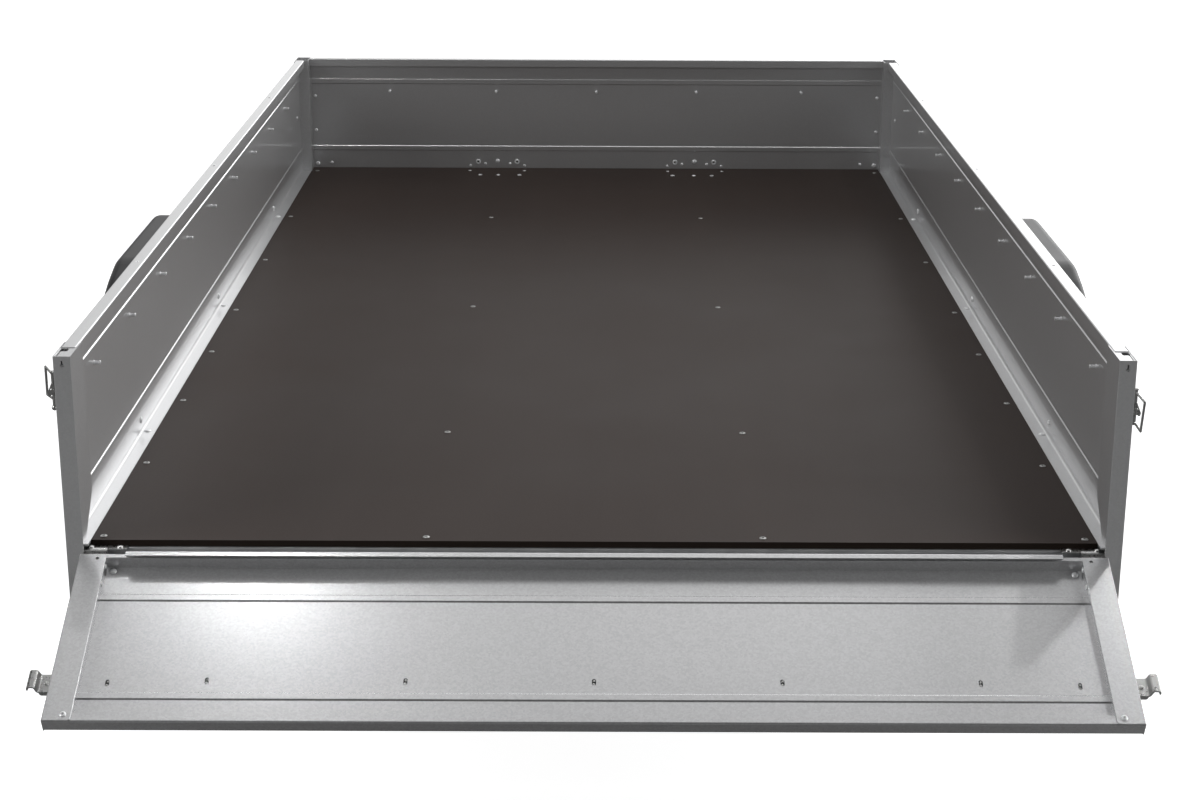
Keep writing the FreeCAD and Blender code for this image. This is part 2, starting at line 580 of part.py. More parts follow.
def gate_panel():
    # section in (d, t)
    i0, o0 = 17.5, 17.5 + SKIN
    hb = BEAD_W / 2

    def bead(tc):
        return [(0, tc - hb), (-BEAD_D, tc - hb + BEAD_RUN), (-BEAD_D, tc + hb - BEAD_RUN), (0, tc + hb)]
    inner, outer = [], []
    for tc in (88.7, 311.7):
        inner += [(i0 + a, b) for a, b in bead(tc)]
        outer += [(o0 + a, b) for a, b in bead(tc)]
    P, R = [], []

    def add(p, r=0.0):
        P.append(p)
        R.append(r)
    lip, step, sk = LIP_D, STEP_D, 1.8
    add((lip + sk, LIP_T[1]))
    add((lip, LIP_T[1]))
    add((lip, LIP_T[0]), 2.6)
    add((step + sk, LIP_T[0]), 2.4)
    add((step + sk, WALL_T - sk), 0.8)
    add((o0, WALL_T - sk), 3.2)
    for p in outer:
        add(p, 1.0)
    add((o0, GATE_H - 28.0), 1.0)
    add((GATE_T, GATE_H - 28.0), 2.0)
    add((GATE_T, GATE_H), 3.0)
    add((2.0, GATE_H), 3.0)
    add((2.0, GATE_H - 20.0))
    add((2.0 + SKIN, GATE_H - 20.0))
    add((2.0 + SKIN, GATE_H - SKIN), 1.0)
    add((i0, GATE_H - SKIN), 1.2)
    for p in reversed(inner):
        add(p, 1.0)
    add((i0, WALL_T), 1.4)
    add((step, WALL_T), 2.2)
    add((step, LIP_T[0] + sk), 0.8)
    add((lip + sk, LIP_T[0] + sk), 0.8)
    P = [(-d, t) for d, t in P]
    s = rprism_x(P, R, -(GATE_HALF - 2.1), GATE_HALF - 2.1)
    for sx in (-1, 1):
        a, b = sorted((sx * 868.0, sx * 930.0))
        s = s.cut(box(a, b, -60, 25, -5, 36))
        a, b = sorted((sx * LIP_END, sx * 930.0))
        s = s.cut(box(a, b, -STEP_D + 0.02, 25, -5, 36))
    for x, t in GATE_SLOTS:
        s = s.cut(rprism_y([(x - 3.5, t - 7), (x + 3.5, t - 7), (x + 3.5, t + 7), (x - 3.5, t + 7)], 3.4, -30, -10))
    return s


def gate_side(panel):
    x0, x1 = GATE_HALF - GATE_RAIL, GATE_HALF
    web = rprism_y([(x0, 0), (x1, 0), (x1, GATE_H), (x0, GATE_H)], [0.0, 0.0, 0.0, 7.0], -2.0, 0.0)
    outer = box(x1 - 2, x1, -GATE_T, 0, 0, GATE_H)
    inner = box(x0, x0 + 2, -17.5, 0, 0, GATE_H - 20.0)
    # ears round the hinge pin
    ears = [cyl(6.3, 2, (x0, -PIN_D, PIN_T), (1, 0, 0)), cyl(6.3, 2, (x1 - 2, -PIN_D, PIN_T), (1, 0, 0))]
    s = join([web, outer, inner] + ears)
    e = [e for e in s.Edges if e.Length > 300 and e.BoundBox.YMin > -0.01 and (abs(e.BoundBox.XMin - x1) < 0.01 or abs(e.BoundBox.XMin - x0) < 0.01)]
    if e:
        s = s.makeFillet(1.5, e)
    s = s.cut(panel)
    s = s.cut(cyl(3.2, 6, (884.7, -4, 10.0), (0, 1, 0)))
    s = s.cut(cyl(PIN_R + FIT, 80, (x0 - 10, -PIN_D, PIN_T), (1, 0, 0)))
    return max(s.Solids, key=lambda q: q.Volume)


panel = gate_panel()
gs = gate_side(panel)
export("tailgate", gate_place(panel))
export("tailgate_side_rails", Part.makeCompound([gate_place(gs), gate_place(mirror(gs))]))


def gate_hook():
    # pressed hook on the gate's end: a small channel whose web runs out and rolls over
    # into a catch for the latch wire.  Section in (x, -d), drawn out along t.
    x = GATE_HALF
    tc, w = 288.0, 19.0
    top = 13.0
    pts = [(x, -top), (x + 20.0, -top), (x + 24.5, -0.8), (x + 39.0, -0.8), (x + 39.0, -10.0), (x + 36.0, -10.0),
           (x + 36.0, -3.8), (x + 27.0, -3.8), (x + 22.4, -top - 3.0), (x, -top - 3.0)]
    rad = [0.0, 3.0, 4.0, 5.5, 1.2, 1.2, 2.5, 1.0, 5.0, 0.0]
    web = rprism_z(pts, rad, tc - w, tc + w)
    s = [web]
    for a, b in ((tc - w, tc - w + 3.0), (tc + w - 3.0, tc + w)):
        s.append(rprism_z([(x, -top - 1.0), (x + 20.0, -top - 1.0), (x + 18.0, -top - 10.0), (x, -top - 10.0)], [0.0, 0.0, 4.0, 0.0], a, b))
    return join(s)


gh = gate_hook()
export("tailgate_hooks", Part.makeCompound([gate_place(gh), gate_place(mirror(gh))]))

# hinge brackets on the rear crossmember, each with its pin
PIN_Y = GATE_CORNER[0] + PIN_D * GW[0] + PIN_T * GU[0]
PIN_Z = GATE_CORNER[1] + PIN_D * GW[1] + PIN_T * GU[1]


def hinge():
    # leaf bolted over the crossmember's bend, an arm below the pin, and the pin
    xa, xb = 880.0, 907.0
    y0, zt = SILL_Y, -PLY_T
    t = 2.0
    r = SILL_BEND
    leaf = [(PLY_Y0 - 1.0, zt), (y0, zt), (y0, -52.0), (y0 - t, -52.0), (y0 - t, zt + t), (PLY_Y0 - 1.0, zt + t)]
    leaf = rprism_x(leaf, [0.0, r, 0.0, 0.0, r + t, 0.0], HINGE_IN, 913.5)
    s = [leaf, box(838.0, HINGE_IN, 6.0, PLY_Y0 - 1.0, zt, zt + t),
         box(xa, xb, PIN_Y - 4, y0 - t / 2, -52.0, -47.5),
         box(xa, xb, PIN_Y - 4, PIN_Y + 4, -52.0, PIN_Z),
         cyl(6.3, xb - xa, (xa, PIN_Y, PIN_Z), (1, 0, 0)),
         cyl(PIN_R, GATE_HALF - (GATE_HALF - GATE_RAIL - 1), (GATE_HALF - GATE_RAIL - 1, PIN_Y, PIN_Z), (1, 0, 0))]
    return join(s)


hg = hinge()
export("tailgate_hinges", Part.makeCompound([hg, mirror(hg)]))


# latches on the outer faces of the rear posts: base, lever and wire bail
def wire(path, r):
    """Round bar along straight runs joined by balls at the corners."""
    s = []
    for a, b in zip(path[:-1], path[1:]):
        d = V(*b) - V(*a)
        s.append(Part.makeCylinder(r, d.Length, V(*a), d))
    for p in path[1:-1]:
        s.append(Part.makeSphere(r, V(*p)))
    return join(s)


def latch(zc, swing, reach, low, high):
    x = HALF_W
    s = [rprism_x([(22, zc - 42), (62, zc - 42), (62, zc + 22), (22, zc + 22)], 6.0, x, x + 3),
         box(x + 3, x + 14, 36, 48, zc - 12, zc + 12),
         cyl(5.0, 44, (x + 12, 42, zc - 22), (0, 0, 1))]
    a = math.radians(swing)
    dx, dy = math.cos(a), math.sin(a)
    x0, y0 = x + 12, 42

    def at(u, z):
        return (x0 + u * dx, y0 + u * dy, zc + z)
    # bail with rounded corners
    r = 7.0
    path = [at(0, -21), at(reach - r, low - (low + 21) * r / reach), at(reach - 0.29 * r, low + 0.25 * r), at(reach, low + r),
            at(reach, high - r), at(reach - 0.29 * r, high - 0.25 * r), at(reach - r, high - (high - 21) * r / reach), at(0, 21)]
    return join(s + [wire(path, 2.4)])


export("tailgate_latches", Part.makeCompound([latch(256.0, -60.0, 30.0, -37.0, 12.0), mirror(latch(300.0, 72.0, 50.0, -21.0, 27.0))]))

# ---------------------------------------------------------------------------
# Coupling
# ---------------------------------------------------------------------------
BALL_Y = ARM_TIP_Y + 108.0
BALL_Z = 430.0 - DECK            # centre height of the tow ball
C_TOP = ARM_TOP
body = rprism_z([(-52, ARM_TIP_Y - 120), (52, ARM_TIP_Y - 120), (38, BALL_Y - 25), (-38, BALL_Y - 25)], [8, 8, 0, 0], C_TOP, C_TOP + 8)
neck = prism_x([(ARM_TIP_Y - 60, C_TOP + 8), (ARM_TIP_Y - 40, BALL_Z + 30), (BALL_Y, BALL_Z + 33), (BALL_Y, C_TOP + 8)], -30, 30)
cup = cyl(38, (BALL_Z + 34) - (BALL_Z - 22), (0, BALL_Y, BALL_Z - 22), (0, 0, 1))
head = join([body, neck, cup])
top_e = [e for e in head.Edges if e.BoundBox.ZMin > BALL_Z + 33.5]
if top_e:
    try:
        head = head.makeFillet(9.0, top_e)
    except Exception:
        pass
head = head.cut(cyl(25.2, 44, (0, BALL_Y, BALL_Z - 22.1), (0, 0, 1)))
export("coupling_head", head)
hy = BALL_Y - 52
handle = prism_x([(hy - 14, BALL_Z + 32), (hy + 14, BALL_Z + 33), (hy + 10, BALL_Z + 62), (hy - 70, BALL_Z + 92), (hy - 120, BALL_Z + 92),
                  (hy - 120, BALL_Z + 82), (hy - 74, BALL_Z + 82), (hy - 14, BALL_Z + 54)], -12, 12)
handle = handle.cut(head)
export("coupling_handle", handle)

# ---------------------------------------------------------------------------
# Jockey wheel
# ---------------------------------------------------------------------------
J_BOT = 336.0 - DECK
J_TOP = 572.0 - DECK
clamp = join([cyl(33, 62, (0, JOCK_Y, plate_top), (0, 0, 1)),
              box(-9, 9, JOCK_Y + 28, JOCK_Y + 58, plate_top + 6, plate_top + 56),
              box(-44, 44, JOCK_Y - 44, JOCK_Y + 30, plate_top, plate_top + 6)])
clamp = clamp.cut(cyl(24.0, 90, (0, JOCK_Y, plate_top - 5), (0, 0, 1)))
clamp = clamp.cut(box(-1.5, 1.5, JOCK_Y + 20, JOCK_Y + 60, plate_top + 6.2, plate_top + 70))
export("jockey_clamp", clamp)

outer = cyl(24.0, J_TOP - J_BOT, (0, JOCK_Y, J_BOT), (0, 0, 1))
outer = outer.cut(cyl(20.0, J_TOP - J_BOT, (0, JOCK_Y, J_BOT - 5), (0, 0, 1)))
export("jockey_outer_tube", outer)
cap = join([cyl(26.0, 14, (0, JOCK_Y, J_TOP), (0, 0, 1)), cyl(10, 14, (0, JOCK_Y, J_TOP + 14), (0, 0, 1)),
            box(-9, 9, JOCK_Y - 9, JOCK_Y + 98, J_TOP + 26, J_TOP + 32),
            cyl(6.0, 14, (0, JOCK_Y + 88, J_TOP + 32), (0, 0, 1)),
            cyl(11.0, 66, (0, JOCK_Y + 88, J_TOP + 40), (0, 0, 1))])
export("jockey_crank", cap)

FORK_TOP = 224.0 - DECK
inner_tube = cyl(20.0 - FIT, (460.0 - DECK) - (FORK_TOP + 1.0), (0, JOCK_Y, FORK_TOP + 1.0), (0, 0, 1))
spigot = cyl(9.0, 24, (0, JOCK_Y, FORK_TOP - 14), (0, 0, 1))
spigot_head = cyl(13.0, 5, (0, JOCK_Y, FORK_TOP - 14), (0, 0, 1))
export("jockey_inner_tube", join([inner_tube, spigot, spigot_head]))

WJ_Y = JOCK_Y - JOCK_TRAIL
WJ_Z = JOCK_R - DECK
fork = [box(-34, 34, JOCK_Y - 32, JOCK_Y + 26, FORK_TOP - 6, FORK_TOP)]
for sx in (-1, 1):
    a, b = sorted((sx * 30.0, sx * 34.0))
    fork.append(prism_x([(JOCK_Y - 32, FORK_TOP), (JOCK_Y + 26, FORK_TOP), (WJ_Y + 18, WJ_Z - 6), (WJ_Y + 8, WJ_Z - 16),
                         (WJ_Y - 8, WJ_Z - 16), (WJ_Y - 18, WJ_Z - 6)], a, b))
fork.append(cyl(7.0, 76, (-38, WJ_Y, WJ_Z), (1, 0, 0)))
fork = join(fork)
fork = fork.cut(cyl(9.0 + FIT, 30, (0, JOCK_Y, FORK_TOP - 20), (0, 0, 1)))
export("jockey_fork", fork)
jw = lathe_x_round([(-24, 7.0 + FIT), (24, 7.0 + FIT), (24, 22), (12, 26), (12, 62), (22, 70), (22, 76), (-22, 76), (-22, 70), (-12, 62), (-12, 26), (-24, 22)],
                   [0, 0, 1.5, 3, 3, 2, 0, 0, 2, 3, 3, 1.5], WJ_Y, WJ_Z)
export("jockey_rim", jw)
jt = lathe_x_round([(-22, 76), (22, 76), (25, 82), (22, 95), (12, JOCK_R), (-12, JOCK_R), (-22, 95), (-25, 82)], [0, 0, 3, 6, 6, 6, 6, 3], WJ_Y, WJ_Z)
export("jockey_tyre", jt)

# ---------------------------------------------------------------------------
# Rear light bar, lamps, number plate, markers and reflectors
# ---------------------------------------------------------------------------
bar = [box(-884, 884, 16, 19, -205, -112), box(-884, 884, 16, 44, -115, -112)]
for sx in (-1, 1):
    for c in (300.0, 820.0):
        a, b = sx * c - 20, sx * c + 20
        bar.append(box(a, b, 16, 40, -115, -PLY_T - CROSS_H))
export("rear_light_bar", join(bar))


def lamp():
    return rprism_y([(650, -208), (880, -208), (880, -112), (650, -112)], 10.0, -8, 16)


def lens():
    s = rprism_y([(654, -204), (876, -204), (876, -116), (654, -116)], 8.0, -30, -8)
    e = [e for e in s.Edges if e.BoundBox.YMax < -29.9]
    return s.makeFillet(7.0, e)


lm, ln = lamp(), lens()
export("rear_lamps", Part.makeCompound([lm, mirror(lm)]))
export("rear_lamp_lenses", Part.makeCompound([ln, mirror(ln)]))
np_ = rprism_y([(-260, -216), (260, -216), (260, -106), (-260, -106)], 8.0, 14.0, 16.0)
export("number_plate", np_)


def side_reflector(y):
    s = rprism_x([(y - 45, -76), (y + 45, -76), (y + 45, -40), (y - 45, -40)], 5.0, 943.5, 951.5)
    return s


refl = [side_reflector(y) for y in (760.0, 2650.0)]
export("side_reflectors", Part.makeCompound(refl + [mirror(r) for r in refl]))
mk = rprism_y([(852, -74), (928, -74), (928, -38), (852, -38)], 6.0, BOX_L, BOX_L + 16)
export("front_markers", Part.makeCompound([mk, mirror(mk)]))

# ---------------------------------------------------------------------------
bb = None
vol = 0.0
for name, s in RUN.items():
    ok = s.isValid()
    n = len(s.Solids)
    s.exportStep("parts/%s.step" % name)
    b = s.BoundBox
    vol += s.Volume
    if bb is None:
        bb = FreeCAD.BoundBox(b)
    else:
        bb.add(b)
    print("%-22s solids %d valid %s vol %.0f cm3" % (name, n, ok, s.Volume / 1000.0))
print("nodes", len(RUN), "volume m3 %.4f" % (vol / 1e9))
print("box X %.2f %.2f  Y %.2f %.2f  Z %.2f %.2f" % (bb.XMin, bb.XMax, bb.YMin, bb.YMax, bb.ZMin, bb.ZMax))
print("y centre off by %.2f -> Y_MID should be %.2f" % ((bb.YMin + bb.YMax) / 2, Y_MID + (bb.YMin + bb.YMax) / 2))
print("pin y %.3f z %.3f" % (PIN_Y - Y_MID, PIN_Z + DECK))
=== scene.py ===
import bpy
import bmesh
import math
from mathutils import Matrix, Vector


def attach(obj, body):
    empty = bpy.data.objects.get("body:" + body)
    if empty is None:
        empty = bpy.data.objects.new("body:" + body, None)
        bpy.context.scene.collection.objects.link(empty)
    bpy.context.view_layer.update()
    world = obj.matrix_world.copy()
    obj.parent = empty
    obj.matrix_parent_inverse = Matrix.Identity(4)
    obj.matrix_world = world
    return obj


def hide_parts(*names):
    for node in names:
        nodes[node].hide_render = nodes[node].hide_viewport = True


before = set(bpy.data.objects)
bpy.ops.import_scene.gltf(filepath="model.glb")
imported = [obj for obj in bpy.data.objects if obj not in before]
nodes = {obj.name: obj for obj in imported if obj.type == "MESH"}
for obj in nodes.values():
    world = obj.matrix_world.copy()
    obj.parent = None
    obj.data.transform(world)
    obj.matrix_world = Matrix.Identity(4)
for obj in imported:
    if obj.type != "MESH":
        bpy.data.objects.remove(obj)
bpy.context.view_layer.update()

# Millimetres of the model: x across, y from the rear faces of the rear posts towards
# the drawbar, z from the top of the floor panel.  P() turns them into the row frame.
Y_MID, DECK = 2093.75, 500.0
GATE = math.radians(115.0)


def P(x, y, z):
    return Vector((x / 1000.0, (y - Y_MID) / 1000.0, (z + DECK) / 1000.0))


GT = Vector((0, -math.sin(GATE), math.cos(GATE)))      # up the open gate
GD = Vector((0, -math.cos(GATE), -math.sin(GATE)))     # from its inner face outwards


def G(x, t, d):
    """Point on the open gate: t from its lower edge, d from its inner face."""
    return P(x, -15.0, -12.7) + (GT * t + GD * d) / 1000.0


# ---------------------------------------------------------------------------
# Mesh building
# ---------------------------------------------------------------------------
def axes(w, up=None):
    w = Vector(w).normalized()
    a = Vector(up) if up is not None else (Vector((0, 0, 1)) if abs(w.z) < 0.9 else Vector((0, 1, 0)))
    u = a.cross(w).normalized()
    v = w.cross(u)
    return u, v, w


class Piece:
    def __init__(self):
        self.v, self.f, self.m = [], [], []

    def put(self, verts, faces, mat=0):
        k = len(self.v)
        self.v += [Vector(p) for p in verts]
        self.f += [[k + i for i in q] for q in faces]
        self.m += [mat] * len(faces)

    def lathe(self, at, axis, prof, n=24, mat=0, up=None, turn=0.0):
        """prof: (radius, height) in mm from the axis at the bottom to the axis at the top."""
        u, v, w = axes(axis, up)
        rows, verts = [], []
        for r, h in prof:
            if r < 1e-6:
                rows.append([len(verts)])
                verts.append(at + w * (h / 1000.0))
            else:
                rows.append(list(range(len(verts), len(verts) + n)))
                for i in range(n):
                    a = 2 * math.pi * i / n + turn
                    verts.append(at + (u * math.cos(a) + v * math.sin(a)) * (r / 1000.0) + w * (h / 1000.0))
        faces = []
        for a, b in zip(rows[:-1], rows[1:]):
            for i in range(n):
                j = (i + 1) % n
                if len(a) == 1 and len(b) == 1:
                    continue
                if len(a) == 1:
                    faces.append([a[0], b[j], b[i]])
                elif len(b) == 1:
                    faces.append([a[i], a[j], b[0]])
                else:
                    faces.append([a[i], a[j], b[j], b[i]])
        self.put(verts, faces, mat)

    def ring(self, at, axis, prof, n=32, mat=0, up=None):
        """prof: closed outline of (radius, height) turned about the axis."""
        u, v, w = axes(axis, up)
        m = len(prof)
        verts = []
        for i in range(n):
            a = 2 * math.pi * i / n
            e = u * math.cos(a) + v * math.sin(a)
            verts += [at + e * (r / 1000.0) + w * (h / 1000.0) for r, h in prof]
        faces = []
        for i in range(n):
            j = (i + 1) % n
            for k in range(m):
                q = (k + 1) % m
                faces.append([i * m + k, j * m + k, j * m + q, i * m + q])
        self.put(verts, faces, mat)

    def slab(self, outline, at, u, v, w, mat=0):
        """outline: (a, b) in mm along u and v; w is the whole thickness as a vector in mm."""
        u, v, w = Vector(u), Vector(v), Vector(w) / 1000.0
        lo = [at + (u * a + v * b) / 1000.0 for a, b in outline]
        n = len(lo)
        verts = lo + [p + w for p in lo]
        faces = [list(range(n))[::-1], list(range(n, 2 * n))]
        faces += [[i, (i + 1) % n, n + (i + 1) % n, n + i] for i in range(n)]
        self.put(verts, faces, mat)

    def tube(self, path, r, n=12, mat=0, closed=False):
        """Round bar along path (points in metres), r in mm."""
        r = r / 1000.0
        m = len(path)
        dirs = []
        for i in range(m):
            a = path[i - 1] if (i > 0 or closed) else path[i]
            b = path[(i + 1) % m] if (i < m - 1 or closed) else path[i]
            dirs.append((b - a).normalized())
        u, v, w = axes(dirs[0])
        verts, faces = [], []
        prev = dirs[0]
        for i in range(m):
            if i:
                q = prev.rotation_difference(dirs[i])
                u = q @ u
                u = (u - dirs[i] * u.dot(dirs[i])).normalized()
                v = dirs[i].cross(u)
                prev = dirs[i]
            for k in range(n):
                a = 2 * math.pi * k / n
                verts.append(path[i] + (u * math.cos(a) + v * math.sin(a)) * r)
        for i in range(m if closed else m - 1):
            j = (i + 1) % m
            for k in range(n):
                q = (k + 1) % n
                faces.append([i * n + k, i * n + q, j * n + q, j * n + k])
        if not closed:
            faces.append(list(range(n))[::-1])
            faces.append([(m - 1) * n + k for k in range(n)])
        self.put(verts, faces, mat)

    def make(self, name, body, mats, slot=None, bevel=0.0, angle=32.0, replaces=(), seg=2):
        me = bpy.data.meshes.new(name)
        me.from_pydata([tuple(p) for p in self.v], [], self.f)
        me.update()
        bm = bmesh.new()
        bm.from_mesh(me)
        bmesh.ops.recalc_face_normals(bm, faces=bm.faces)
        bm.to_mesh(me)
        bm.free()
        for m in mats:
            me.materials.append(m)
        for p, k in zip(me.polygons, self.m):
            p.material_index = k
            p.use_smooth = True
        me.set_sharp_from_angle(angle=math.radians(angle))
        ob = bpy.data.objects.new(name, me)
        bpy.context.scene.collection.objects.link(ob)
        if bevel:
            b = ob.modifiers.new("edges", "BEVEL")
            b.width = bevel / 1000.0
            b.segments = seg
            b.limit_method = "ANGLE"
            b.angle_limit = math.radians(40)
            b.harden_normals = True
        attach(ob, body)
        if replaces:
            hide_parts(*replaces)
        return ob


def dome(r, h):
    return [(0, -0.8), (r, -0.8), (r, 0.18 * h), (0.95 * r, 0.42 * h), (0.82 * r, 0.66 * h), (0.6 * r, 0.85 * h), (0.3 * r, 0.97 * h), (0, h)]


def disc(r, h, low=-0.5, c=0.3):
    return [(0, low), (r, low), (r, h - c), (r - c, h), (0, h)]


def hexagon(r):
    return [(r * math.cos(math.radians(60 * k)), r * math.sin(math.radians(60 * k))) for k in range(6)]


def arc(cx, cy, r, a0, a1, n):
    return [(cx + r * math.cos(math.radians(a0 + (a1 - a0) * i / n)), cy + r * math.sin(math.radians(a0 + (a1 - a0) * i / n))) for i in range(n + 1)]


def rrect(x0, y0, x1, y1, r, n=5):
    return (arc(x1 - r, y0 + r, r, -90, 0, n) + arc(x1 - r, y1 - r, r, 0, 90, n)
            + arc(x0 + r, y1 - r, r, 90, 180, n) + arc(x0 + r, y0 + r, r, 180, 270, n))


def bent(points, radius, n=6):
    """points joined by straight runs with round bends (metres in, radius in mm)."""
    r = radius / 1000.0
    out = [points[0]]
    for a, p, b in zip(points[:-2], points[1:-1], points[2:]):
        ua, ub = (a - p).normalized(), (b - p).normalized()
        ang = ua.angle(ub)
        d = min(r / math.tan(ang / 2), (a - p).length * 0.49, (b - p).length * 0.49)
        rr = d * math.tan(ang / 2)
        bis = (ua + ub).normalized()
        c = p + bis * (rr / math.sin(ang / 2))
        s, e = p + ua * d - c, p + ub * d - c
        tot = s.angle(e)
        for i in range(n + 1):
            f = i / n
            w = (s * math.sin((1 - f) * tot) + e * math.sin(f * tot)) / math.sin(tot)
            out.append(c + w)
    out.append(points[-1])
    return out


# ---------------------------------------------------------------------------
# Materials
# ---------------------------------------------------------------------------
class Mat:
    def __init__(self, name):
        self.m = bpy.data.materials.new(name)
        self.m.use_nodes = True
        self.nt = self.m.node_tree
        self.b = self.nt.nodes["Principled BSDF"]
        self.tc = self.nt.nodes.new("ShaderNodeTexCoord")

    def node(self, kind, **kw):
        n = self.nt.nodes.new(kind)
        for k, v in kw.items():
            if k in n.inputs:
                n.inputs[k].default_value = v
            else:
                setattr(n, k, v)
        return n

    def link(self, a, b):
        self.nt.links.new(a, b)

    def noise(self, scale, detail=3.0, rough=0.5, stretch=None):
        n = self.nt.nodes.new("ShaderNodeTexNoise")
        n.inputs["Scale"].default_value = scale
        n.inputs["Detail"].default_value = detail
        n.inputs["Roughness"].default_value = rough
        self.coords(n, stretch)
        return n.outputs["Fac"]

    def coords(self, n, stretch=None):
        if stretch:
            mp = self.nt.nodes.new("ShaderNodeMapping")
            mp.inputs["Scale"].default_value = stretch
            self.link(self.tc.outputs["Object"], mp.inputs["Vector"])
            self.link(mp.outputs["Vector"], n.inputs["Vector"])
        else:
            self.link(self.tc.outputs["Object"], n.inputs["Vector"])

    def cells(self, scale, stretch=None):
        n = self.nt.nodes.new("ShaderNodeTexVoronoi")
        n.inputs["Scale"].default_value = scale
        self.coords(n, stretch)
        s = self.nt.nodes.new("ShaderNodeSeparateColor")
        self.link(n.outputs["Color"], s.inputs["Color"])
        return s.outputs["Red"]

    def ramp(self, fac, stops):
        r = self.nt.nodes.new("ShaderNodeValToRGB")
        e = r.color_ramp.elements
        while len(e) < len(stops):
            e.new(0.5)
        for k, (pos, c) in enumerate(stops):
            e[k].position = pos
            e[k].color = (c, c, c, 1) if isinstance(c, (int, float)) else (*c, 1)
        self.link(fac, r.inputs["Fac"])
        return r.outputs["Color"]

    def span(self, fac, lo, hi, a=0.0, b=1.0):
        r = self.nt.nodes.new("ShaderNodeMapRange")
        for k, v in (("From Min", a), ("From Max", b), ("To Min", lo), ("To Max", hi)):
            r.inputs[k].default_value = v
        self.link(fac, r.inputs["Value"])
        return r.outputs["Result"]

    def mix(self, fac, a, b, mode="MIX"):
        n = self.nt.nodes.new("ShaderNodeMix")
        n.data_type = "RGBA"
        n.blend_type = mode
        for key, val in (("Factor", fac), ("A", a), ("B", b)):
            s = [i for i in n.inputs if i.name == key and (i.type == "RGBA" or (key == "Factor" and i.type == "VALUE"))][0]
            if hasattr(val, "is_output"):
                self.link(val, s)
            elif isinstance(val, (int, float)) and key != "Factor":
                s.default_value = (val, val, val, 1)
            elif key == "Factor":
                s.default_value = val
            else:
                s.default_value = (*val, 1)
        return [o for o in n.outputs if o.type == "RGBA"][0]

    def math(self, op, a, b=None):
        n = self.nt.nodes.new("ShaderNodeMath")
        n.operation = op
        for k, val in enumerate((a, b)):
            if val is None:
                continue
            if hasattr(val, "is_output"):
                self.link(val, n.inputs[k])
            else:
                n.inputs[k].default_value = val
        return n.outputs[0]

    def bump(self, height, strength, dist, under=None):
        n = self.nt.nodes.new("ShaderNodeBump")
        n.inputs["Strength"].default_value = strength
        n.inputs["Distance"].default_value = dist
        self.link(height, n.inputs["Height"])
        if under is not None:
            self.link(under, n.inputs["Normal"])
        return n.outputs["Normal"]

    def set(self, **kw):
        names = {"color": "Base Color", "metal": "Metallic", "rough": "Roughness", "normal": "Normal", "coat": "Coat Weight",
                 "coat_rough": "Coat Roughness", "spec": "Specular IOR Level", "trans": "Transmission Weight", "ior": "IOR",
                 "coat_ior": "Coat IOR", "sheen": "Sheen Weight"}
        for k, v in kw.items():
            s = self.b.inputs[names[k]]
            if hasattr(v, "is_output"):
                self.link(v, s)
            elif k == "color":
                s.default_value = (*v, 1)
            else:
                s.default_value = v
        return self


def galvanised(name, base, rough, spangle, coat, wave, metal=0.7, tint=(1.0, 1.005, 1.015), vary=0.012):
    m = Mat(name)
    cell = m.cells(300.0)
    fine = m.noise(420.0, 2.0)
    cloud = m.noise(3.2, 4.0, 0.6)
    lo = tuple(base * c * (1 - spangle) for c in tint)
    hi = tuple(base * c * (1 + spangle) for c in tint)
    c1 = m.mix(cell, lo, hi)
    c2 = m.mix(m.span(cloud, 0.0, 0.12, 0.35, 0.75), c1, tuple(base * 0.86 * c for c in tint))
    r1 = m.span(m.math("ADD", m.math("MULTIPLY", cell, 0.5), m.math("MULTIPLY", fine, 0.5)), rough - vary, rough + vary)
    h = m.noise(7.0, 2.0, 0.45)
    n1 = m.bump(h, 0.25, wave)
    n2 = m.bump(fine, 0.05, 0.00005, n1)
    m.set(color=c2, metal=metal, rough=r1, normal=n2, coat=coat, coat_rough=0.07, spec=0.5)
    return m.m


def cast_steel(name, base, rough):
    """Hot-dip galvanised steel: duller, with runs and a faint orange-peel."""
    m = Mat(name)
    cloud = m.noise(14.0, 5.0, 0.6)
    cell = m.cells(95.0)
    c = m.mix(m.span(cloud, 0.0, 1.0, 0.35, 0.7), tuple(base * k for k in (0.80, 0.81, 0.83)), tuple(base * k for k in (1.06, 1.07, 1.08)))
    c = m.mix(m.span(cell, 0.0, 0.18), c, tuple(base * k for k in (0.7, 0.71, 0.73)))
    h = m.noise(60.0, 3.0)
    m.set(color=c, metal=0.9, rough=m.span(cloud, rough - 0.06, rough + 0.08, 0.3, 0.7), normal=m.bump(h, 0.18, 0.0006))
    return m.m


def plated(name, base, rough, tint=(1.0, 1.0, 0.985)):
    m = Mat(name)
    n = m.noise(180.0, 3.0)
    s = m.noise(30.0, 4.0)
    c = m.mix(m.span(s, 0.0, 0.6, 0.3, 0.8), tuple(base * k for k in tint), tuple(base * 0.72 * k for k in tint))
    m.set(color=c, metal=1.0, rough=m.span(n, rough - 0.05, rough + 0.07, 0.3, 0.7), normal=m.bump(n, 0.06, 0.0002))
    return m.m


def rubber(name, base, rough):
    m = Mat(name)
    n = m.noise(260.0, 3.0)
    d = m.noise(9.0, 4.0)
    c = m.mix(m.span(d, 0.0, 1.0, 0.35, 0.7), (base, base, base * 1.02), (base * 1.7, base * 1.65, base * 1.6))
    m.set(color=c, rough=m.span(d, rough - 0.05, rough + 0.07), spec=0.35, normal=m.bump(n, 0.15, 0.0003))
    return m.m


